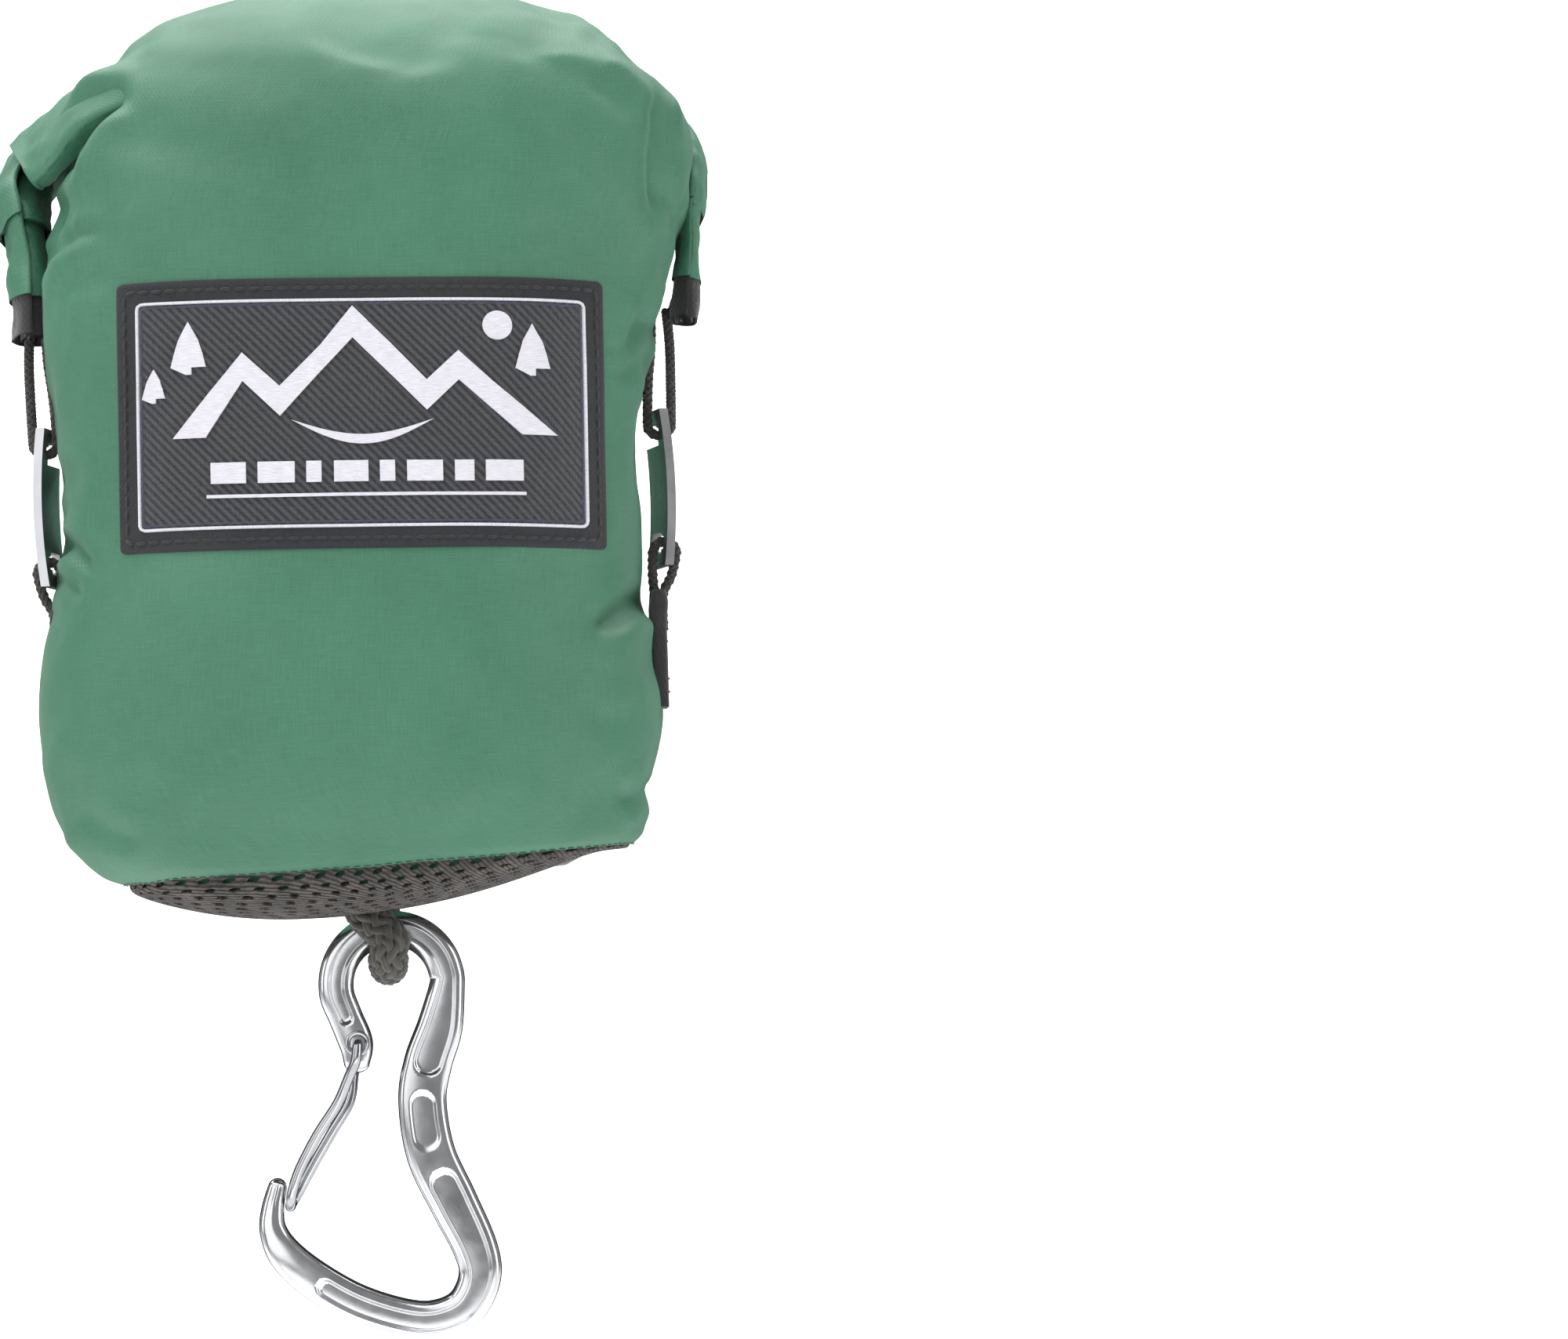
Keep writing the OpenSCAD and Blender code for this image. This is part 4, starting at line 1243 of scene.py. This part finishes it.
emblem = {
    # a ridge, two pines, a hung crescent and a low sun, in mm from the label's middle
    "ridge": [(-41, -5), (-33, 5), (-26, 13.5), (-18, 6), (-9, 15), (-2, 23.5), (6, 15.5), (14, 7), (21, 13.5),
              (28, 7), (42, -5)],
    "foot": [(42, -5), (34.5, -5), (27, 1.6), (21, 7), (14, 0.4), (5, 9.5), (-2, 16.5), (-9.5, 8.6), (-18, -0.6),
             (-26, 7.2), (-34, -5)],
    "pines": [(-37.5, 9, 11.5), (-45.0, 3, 7.5), (37.0, 8, 11.5)],
    "crescent": (-15.5, 15.5, -1.5, 5.4, 2.1),
    "sun": (29.5, 19.0, 3.2),
    "bars": [(-33, -25.5), (-23, -15), (-12.5, -9.2), (-6.5, 1.0), (3.5, 6.8), (9.4, 17.2), (19.8, 24),
             (26.5, 34.5)],
    "barLevel": (-15.2, -10.6),
    "rule": (-34, 35, -18.0),
}


def pine(x, low, height):
    half = height * 0.33
    # how high and how wide, as shares
    levels = [(0.0, 0.16), (0.14, 0.16), (0.14, 1.0), (0.42, 0.42), (0.40, 0.80), (0.66, 0.30), (0.64, 0.58),
              (1.0, 0.0)]
    right = [(x + half * w, low + height * h) for h, w in levels]
    left = [(x - half * w, low + height * h) for h, w in levels[-2::-1]]
    return right + left


def box(left, right, low, high):
    return [(left, low), (right, low), (right, high), (left, high)]


def buildEmblem(s, low, high):
    outlines = [s["ridge"] + s["foot"][1:]] + [pine(*p) for p in s["pines"]]
    left, right, level, sag, thick = s["crescent"]
    across = np.linspace(0, 1, 21)
    lower = [(left + (right - left) * t, level - sag * math.sin(math.pi * t)) for t in across]
    upper = [(left + (right - left) * t, level - (sag - thick) * math.sin(math.pi * t)) for t in across[-2:0:-1]]
    outlines.append(lower + upper)
    x, z, r = s["sun"]
    turns = np.linspace(0, math.tau, 28, endpoint=False)
    outlines.append([(x + r * math.cos(a), z + r * math.sin(a)) for a in turns])
    outlines += [box(a, b, *s["barLevel"]) for a, b in s["bars"]]
    a, b, level = s["rule"]
    outlines.append(box(a, b, level - 0.35, level + 0.35))
    return joinPieces("labelEmblem", [satinShape(outline, low, high) for outline in outlines])


mark = buildEmblem(emblem, label["face"] - 0.1, label["mark"])
finishPiece(mark, satin, "sack", "label_thread")

ring = roundedBox(label["size"][0] - 2 * label["stitchInset"], label["size"][1] - 2 * label["stitchInset"], 1.4)
seam = stitches("labelStitching", [onLabel(np.concatenate([ring, ring[:1]]), label["backing"] + 0.16)], threadMaterial,
                label["stitch"])
finishPiece(seam, threadMaterial, "sack", "stitch_thread", "label_stitching")
print("label ready")

# ---- side fastenings ----
fastening = {
    "hookX": 70.0,           # how far the hooks' plates are from the middle
    "braid": {"strands": 8, "turns": 150.0, "radius": 0.00072, "strand": 0.00040, "step": 0.00035},
    "core": 0.00062,
    "off": 2.7,              # the cord's middle from the plate's middle, in mm
    "upperSlot": 17.4,       # where each cord bears on its slot's end
    "lowerSlot": -12.4,
    "tapeEnd": 41.0,
    "tabTop": -21.0,
    "tab": {"low": -48.0, "width": 12.0, "layer": 1.5, "inside": 66.2},
    "seams": (-44.5, -41.5, -33.0, -30.0),      # the heights of the rows of thread
    "thread": {"pitch": 0.0014, "long": 0.0012, "thick": 0.00022},
    "hookBevel": 0.00055,
}


def tubeMesh(name, path, radius, sides=10):
    heading, side, over = pathFrames(path, (0.02, 1, 0.03))
    turn = np.linspace(0, math.tau, sides, endpoint=False)
    grid = path[:, None] + radius * (side[:, None] * np.cos(turn)[None, :, None]
                                     + over[:, None] * np.sin(turn)[None, :, None])
    return gridMesh(name, grid, closedAcross=True, caps=True)


def cordPath(s, side, upper):
    x, y = s["hookX"], midY / mm
    if upper:
        z = s["upperSlot"]
        ends = ([(x + 2.6, y + 0.6, s["tapeEnd"] + 3), (x + 3.1, y + 0.3, 36), (x + 3.0, y, 27)],
                [(x - 2.2, y, 27), (x - 1.2, y - 0.3, 36), (x - 1.0, y - 0.6, s["tapeEnd"] + 3)])
        way = 1
    else:
        z = s["lowerSlot"]
        ends = ([(x - 0.9, y, s["tabTop"] - 9), (x - 0.7, y, s["tabTop"] - 1), (x + 1.4, y, s["tabTop"] + 3.4)],
                [(x - 2.9, y, s["tabTop"] + 3.4), (x - 2.6, y, s["tabTop"] - 1), (x - 2.0, y, s["tabTop"] - 9)])
        way = -1
    bend = [(x + s["off"] * math.cos(a), y, z - way * s["off"] * math.sin(a)) for a in np.linspace(0, math.pi, 7)]
    path = evenRun(smoothRun(ends[0] + bend + ends[1], 8), 160) * mm
    path[:, 0] *= side
    return path


def buildCord(name, path, material, s, sides=10):
    # a plaited sleeve over a plain core
    sleeve = braid(name, path, material, s["braid"])
    core = tubeMesh("core", path, s["core"], sides)
    facesOut(core)
    paint(core, material)
    return joinPieces(name, [sleeve, core])


def buildTab(name, s, side):
    # a loop of webbing, folded over the cord and sewn flat below it
    tab = s["tab"]
    low, top, layer, x = tab["low"], s["tabTop"], tab["layer"], tab["inside"]
    far = x + 2 * layer
    outer = [(x, low), (far + 0.2, low), (far + 0.3, low + 8), (far + 0.4, top - 8), (far + 0.9, top - 3),
             (far + 0.5, top), (x + 0.3, top), (x - 0.1, top - 4), (x - 0.1, low + 8)]
    # the front view of the loop, then across its width
    outline = []
    run = outer + outer[:1]
    for (x0, z0), (x1, z1) in zip(run, run[1:]):
        steps = max(1, int(math.hypot(x1 - x0, z1 - z0)))
        outline += [(x0 + (x1 - x0) * k / steps, z0 + (z1 - z0) * k / steps) for k in range(steps)]
    outline = np.array(outline)
    half = tab["width"] / 2
    middle = outline.mean(0)
    # from one edge to the other; the edges are drawn in
    edge = [(-half, 0.0), (-half, 0.55), (-half + 0.25, 0.85), (-half + 0.7, 1), (-half / 2, 1)]
    grid = []
    for y, draw in edge + [(0, 1)] + [(-y, draw) for y, draw in edge[::-1]]:
        across = middle[0] + (outline[:, 0] - middle[0]) * draw
        up = outline[:, 1] + (middle[1] - outline[:, 1]) * (1 - draw) * 0.03
        grid.append(np.column_stack([side * across, np.full(len(outline), y + midY / mm), up]))
    piece = gridMesh(name, np.array(grid) * mm, closedAcross=True)
    facesOut(piece)
    return piece


for sideName, side in (("Left", -1), ("Right", 1)):
    low = sideName.lower()
    for level in ("upper", "lower"):
        path = cordPath(fastening, side, level == "upper")
        cord = buildCord(level + "Cord" + sideName, path, cordMaterial, fastening)
        finishPiece(cord, cordMaterial, "sack", "side_cord", level + "_cord_" + low)
    tab = buildTab("sideTab" + sideName, fastening, side)
    finishPiece(tab, tabWebbing, "sack", "dark_webbing", "side_tab_" + low)
    # two rows of thread hold the loop down
    x = side * (fastening["tab"]["inside"] + 3.4)
    rows = [np.array([(x, midY / mm + y, z) for y in np.linspace(-5, 5, 12)]) * mm for z in fastening["seams"]]
    sewn = stitches("tabStitching" + sideName, rows, threadMaterial, fastening["thread"])
    finishPiece(sewn, threadMaterial, "sack", "stitch_thread")
    useModifier(frame["nodes"]["hook_" + low], "BEVEL", width=fastening["hookBevel"], segments=3,
                limit_method="ANGLE", angle_limit=math.radians(40))
print("side fastenings ready")

# ---- rope loop ----
rope = {
    "braid": {"strands": 16, "turns": 34.0, "radius": 0.00315, "strand": 0.00098, "step": 0.0005},
    "core": 0.0029,
    "hug": 9.5, "sag": 6.7, "hang": 4.0,     # the bight round the ring, in mm
    "lean": -2.4,            # the front leg comes out left of the loop's middle
}


def signPower(value, power):
    return math.copysign(abs(value) ** power, value)


def ropePath(s):
    x, y, z = [part / mm for part in eye]
    top = port.z / mm
    bight = [(x - 0.6 - 0.36 * math.cos(a), y + s["hug"] * signPower(math.cos(a), 0.8),
              z + s["hang"] + s["sag"] * (1 - abs(math.sin(a)) ** 0.8)) for a in np.linspace(math.pi, 0, 11)]
    front = [(s["lean"] - 0.4, y - 6.4, top + 12), (s["lean"], y - 6.9, top + 2), (s["lean"] + 1.2, y - 9.0, top - 3.2)]
    back = [(2.2, y + 9.0, top - 3.2), (1.6, y + 6.9, top + 2), (1.2, y + 6.4, top + 12)]
    return evenRun(smoothRun(front + bight + back, 10), 200) * mm


ropeLoop = buildCord("ropeLoop", ropePath(rope), ropeMaterial, rope, 16)
paint(ropeLoop, ropeMaterial)
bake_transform(ropeLoop)
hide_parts("rope_loop")
print("rope ready", len(ropeLoop.data.polygons))

# ---- carabiner ----
hangTurn = math.atan2(gatePivot.x - eye.x, eye.z - gatePivot.z) - math.atan2(-7.7, 13.4)
carabiner = {
    # across, up, half width and thickness from the eye, in mm
    "arm": [(-7.9, -17.8, 3.0, 9), (-8.1, -13.4, 3.9, 9), (-10.4, -7.6, 3.9, 9)],
    "ring": (12.6, 4.0, 9),
    "spine": [(10.9, -9.8, 5.2, 9), (8.2, -18, 5.5, 9), (6.9, -26.6, 5.5, 9), (8.8, -38.5, 5.6, 9),
              (13.9, -49.5, 5.5, 9), (18.8, -59.9, 5.1, 9)],
    "basket": [(19.8, -66.6, 4.8, 9), (16.6, -73.2, 4.6, 9), (10.4, -76.1, 4.5, 9), (3.1, -75.8, 4.4, 9),
               (-7.7, -72.4, 4.4, 9), (-17.1, -67, 4.3, 9), (-23.8, -61.2, 3.9, 8.5)],
    "nose": [(-26.8, -55.6, 3.1, 7), (-26.9, -50.6, 2.6, 6), (-25.9, -46, 2.2, 5)],
    "edge": 2.0,             # rounding of the bar's edges
    "endRound": 2.4,         # and of its two ends
    "step": 0.5,
    # each recess: where it starts and ends beside the bar, how far from the bar's edge, how deep
    "grooves": [((-9.4, -9.2), (7.4, -21.0), 2.1, 0.85), ((9.9, -42.5), (-16.5, -67.2), 2.2, 0.85)],
    "pill": ((7.2, -24.5), (8.2, -37.8), 2.4, 0.35),
}


def hung(points):
    # from the eye's own across and up to the frame, turned as the carabiner hangs
    points = np.asarray(points, float)
    c, s = math.cos(hangTurn), math.sin(hangTurn)
    x = eye.x / mm + points[..., 0] * c - points[..., 2] * s
    z = eye.z / mm + points[..., 0] * s + points[..., 2] * c
    return np.stack([x, points[..., 1] + midY / mm, z], -1) * mm


def barProfile(w, h, edge, depth, inset, near):
    # half the bar's section, from its inner side over the front to its outer side
    turn = np.linspace(0, math.pi / 2, 7)
    corner = [(-w + edge - edge * math.cos(a), h - edge + edge * math.sin(a)) for a in turn]
    flat = np.linspace(-w + edge, w - edge, 40)[1:-1]
    groove = w - inset
    reach = np.sqrt(flat ** 2 + near ** 2)
    dip = depth * smoothStep(groove + 0.05, groove - 0.75, reach)
    crown = 0.12 * (1 - (flat / (w - edge + 0.01)) ** 2)
    top = [(u, h + c - d) for u, c, d in zip(flat, crown, dip)]
    return corner + top + [(-u, v) for u, v in corner[::-1]]


def buildFrame(s):
    angles = range(195, -1, -13)
    r, w, t = s["ring"]
    ring = [(r * math.cos(math.radians(a)), r * math.sin(math.radians(a)), w, t) for a in angles]
    run = smoothRun(s["arm"] + ring + s["spine"] + s["basket"] + s["nose"], 12)
    long = lengthAlong(run[:, :2])
    at = np.linspace(0, long[-1], int(long[-1] / s["step"]))
    run = np.stack([np.interp(at, long, run[:, k]) for k in range(4)], 1)
    heading = np.gradient(run[:, :2], axis=0)
    heading /= np.linalg.norm(heading, axis=1)[:, None]

    def nearest(spot):
        return at[np.argmin(np.hypot(run[:, 0] - spot[0], run[:, 1] - spot[1]))]

    grooves = [(nearest(a), nearest(b), inset, depth) for a, b, inset, depth in s["grooves"] + [s["pill"]]]
    rows = []
    for station, (x, z, w, t), (hx, hz) in zip(at, run, heading):
        inset, depth, near = 2.0, 0.0, 0.0
        for first, last, gap, deep in grooves:
            low, high = first + (w - gap), last - (w - gap)
            past = max(low - station, station - high, 0)
            if past < w - gap + 0.1:
                inset, depth, near = gap, deep, past
        edge = min(s["edge"], w - 0.4, t / 2 - 0.4)
        half = barProfile(w, t / 2, edge, depth, inset, near)
        loop = half + [(-u, -v) for u, v in half]
        rows.append([(x - hz * u, v, z + hx * u) for u, v in loop])
    rows = np.array(rows)
    # rounded ends
    ends = []
    for row, before in ((rows[0], rows[1]), (rows[-1], rows[-2])):
        middle = row.mean(0)
        direction = middle - before.mean(0)
        direction = direction / np.linalg.norm(direction)
        w = np.linalg.norm(row - middle, axis=1).min()
        ends.append([middle + (row - middle) * math.cos(a) + direction * min(w, s["endRound"]) * math.sin(a)
                     for a in (0.35, 0.7, 1.05, 1.35)])
    rows = np.concatenate([np.array(ends[0][::-1]), rows, np.array(ends[1])])
    return gridMesh("carabinerFrame", hung(rows), closedAcross=True, caps=True)


metalBar = buildFrame(carabiner)
facesOut(metalBar)
finishPiece(metalBar, polished, "carabiner", "forged_aluminium", "carabiner_frame")

gate = {
    "leg": [(-7.7, 5.9, -13.4), (-8.2, 5.9, -17.4), (-9.2, 4.7, -21), (-11, 3.4, -27), (-15.3, 3, -34),
            (-19.4, 2.8, -41.5), (-21.6, 2.6, -46.5), (-22.6, 2, -49.2)],
    "part": [0, 0, 0.5, 1.3, 1.5, 1.3, 0.8, 0.2],
    "tip": (-22.9, 0, -50.2),
    "wire": 1.2,
    "pin": 4.0,              # how deep each end turns into the frame
}


def buildGate(s):
    leg, part, out = np.array(s["leg"]), np.array(s["part"]), s["leg"][0][1]
    front = leg * (1, -1, 1) - np.outer(part, (1, 0, 0))
    rear = leg + np.outer(part, (1, 0, 0))
    run = smoothRun(np.concatenate([front, [s["tip"]], rear[::-1]]), 10)
    # each end turns in towards the frame with a small bend
    x, z = s["leg"][0][0], s["leg"][0][2]
    start = [(x, -out + s["pin"], z), (x, -out + s["pin"] / 2, z), (x, -out + 0.9, z), (x, -out + 0.25, z - 0.3)]
    path = np.concatenate([start, run[4:-4], [(px, -py, pz) for px, py, pz in start[::-1]]])
    path = hung(evenRun(path, 300))
    wire = tubeMesh("gateWire", path, s["wire"] * mm, 16)
    facesOut(wire)
    return wire


gateWire = buildGate(gate)
finishPiece(gateWire, gateSteel, "gate", "gate_wire", "carabiner_gate")
pocket = {"middle": (-7.7, -13.4), "radius": 2.9, "hole": 1.5, "depth": 0.25, "face": 4.5}


def buildHinge(s):
    # the dark seats that the gate's ends turn in, front and rear
    discs = []
    x, z = s["middle"]
    section = [(s["radius"], -0.4), (s["radius"], s["depth"] - 0.08), (s["radius"] - 0.25, s["depth"]),
               (s["hole"] + 0.25, s["depth"]), (s["hole"], -0.5)]
    turns = np.linspace(0, math.tau, 40, endpoint=False)
    for way in (-1, 1):
        rings = [[(x + r * math.cos(a), way * (s["face"] + out), z + r * math.sin(a)) for a in turns]
                 for r, out in section]
        disc = gridMesh("seat", hung(rings), closedAcross=True)
        facesOut(disc)
        discs.append(disc)
    return joinPieces("gateSeats", discs)


gateSeats = buildHinge(pocket)
finishPiece(gateSeats, gateSteel, "carabiner", "forged_aluminium")
print("carabiner ready", len(metalBar.data.polygons))

# ---- packed hammock inside ----
packed = {
    "inset": 3.4,            # how far inside the sack its cloth lies, in mm
    "above": 1.9,            # and above the net
    "around": 120, "rows": 56, "belowCrown": 14,
}


def buildPacked(s):
    rows = np.linspace(0, len(sackGrid) - s["belowCrown"], s["rows"]).astype(int)
    cols = np.linspace(0, columns, s["around"], endpoint=False).astype(int)
    grid = sackGrid[rows][:, cols] / mm
    grid = grid - gridNormals(grid) * s["inset"]
    grid[0, :, 2] += 1
    # the bottom follows the mesh base
    bottom = [baseRing(share, s["around"], base, s["above"]) for share in (0.97, 0.86, 0.72, 0.55, 0.36, 0.16)]
    grid = np.concatenate([np.array(bottom), grid])
    return gridMesh("packedCloth", grid * mm, closedAcross=True, caps=True)


packedCloth = buildPacked(packed)
facesOut(packedCloth)
finishPiece(packedCloth, packedNylon, "sack", "hammock_nylon", "hammock_bundle")

# ---- CAD pieces that stay ----
keptNodes = {
    "hook_left": satinPlate, "hook_right": satinPlate, "base_seam_tape": darkTape, "end_gather": packedNylon,
    "spare_gather": packedNylon, "rope_anchor": ropeMaterial, "spare_rope_loop": ropeMaterial,
    "spare_carabiner_frame": polished, "spare_carabiner_gate": gateSteel,
}
for node, material in keptNodes.items():
    for entry in frame["nodes"][node].material_slots:
        entry.material = material
print("inner pieces ready")

# ---- stage ----
stageSetup = {"floor": -0.42, "size": 6.0, "wall": 1.6, "curve": 0.6}


def makeStage(s):
    floor, curve = s["floor"], s["curve"]
    foot = s["wall"] - curve
    profile = [(-s["size"], floor), (foot, floor)]
    profile += [(foot + curve * math.sin(a), floor + curve - curve * math.cos(a))
                for a in np.linspace(0, math.pi / 2, 12)[1:]]
    profile.append((s["wall"], s["size"]))
    points = np.array([[(x, y, z) for x in (-s["size"], s["size"])] for y, z in profile])
    sweep = gridMesh("backdrop", points)
    material, tree, shader = newMaterial("paperWhite", Roughness=0.9)
    grain = noiseNode(tree, coordinates(tree, "Object"), 60, 2)
    shade = ramp(tree, grain, (0.3, (0.93, 0.93, 0.93)), (0.7, (0.95, 0.95, 0.95)))
    tree.links.new(shade, shader.inputs["Base Color"])
    paint(sweep, material)


def areaLight(name, place, target, size, power):
    data = bpy.data.lights.new(name, "AREA")
    data.shape = "RECTANGLE"
    data.size, data.size_y = size
    data.energy = power
    lamp = bpy.data.objects.new(name, data)
    lamp.location = place
    lamp.rotation_mode = "QUATERNION"
    lamp.rotation_quaternion = (Vector(target) - Vector(place)).to_track_quat("-Z", "Y")
    bpy.context.scene.collection.objects.link(lamp)


makeStage(stageSetup)
# dark cards out of the picture give the metal its dark edges
# each card: its middle, how wide and high it is, and its turn in degrees
cards = [(-0.75, -0.55, -0.1, 0.30, 0.9, 55), (0.62, -0.75, -0.15, 0.16, 0.8, -50),
         (0.0, -1.6, -0.30, 1.6, 0.10, 0), (0.0, 0.32, -0.1, 1.3, 0.9, 0)]
cardPaint = newMaterial("cardBlack", Roughness=1.0, **{"Base Color": (0.01, 0.01, 0.01, 1)})[0]
for k, (x, y, z, wide, high, turn) in enumerate(cards):
    across = math.cos(math.radians(turn)) * wide / 2, math.sin(math.radians(turn)) * wide / 2
    corners = [[(x + way * across[0], y + way * across[1], level) for way in (-1, 1)]
               for level in (z - high / 2, z + high / 2)]
    card = gridMesh("card%d" % k, np.array(corners))
    paint(card, cardPaint)
    card.visible_shadow = card.visible_diffuse = card.visible_camera = False
# each light: its place, what it faces, its size and its power
lights = {
    "topLight": ((-0.25, -0.55, 1.1), (0, midY, 0.03), (1.2, 0.8), 10.5),
    "frontLight": ((-0.5, -1.3, 0.35), (0, midY, -0.03), (1.0, 1.2), 5),
    "sideLight": ((1.1, -0.7, 0.2), (0, midY, -0.05), (0.5, 1.2), 5),
    "leftLight": ((-1.1, -0.5, 0.3), (0, midY, 0.0), (0.6, 1.0), 3.5),
    "lowLight": ((0.1, -0.7, -0.4), (0, midY, -0.08), (0.8, 0.3), 1),
    "backdropLight": ((0, 0.4, 1.4), (0, 1.6, 0.1), (2.5, 0.8), 60),
}
for name, values in lights.items():
    areaLight(name, *values)
world = bpy.data.worlds.new("studio")
world.use_nodes = True
sky = world.node_tree.nodes["Background"]
sky.inputs["Color"].default_value = (1, 1, 1, 1)
sky.inputs["Strength"].default_value = 0.28
bpy.context.scene.world = world
bpy.context.scene.view_settings.view_transform = "Standard"
print("stage ready")
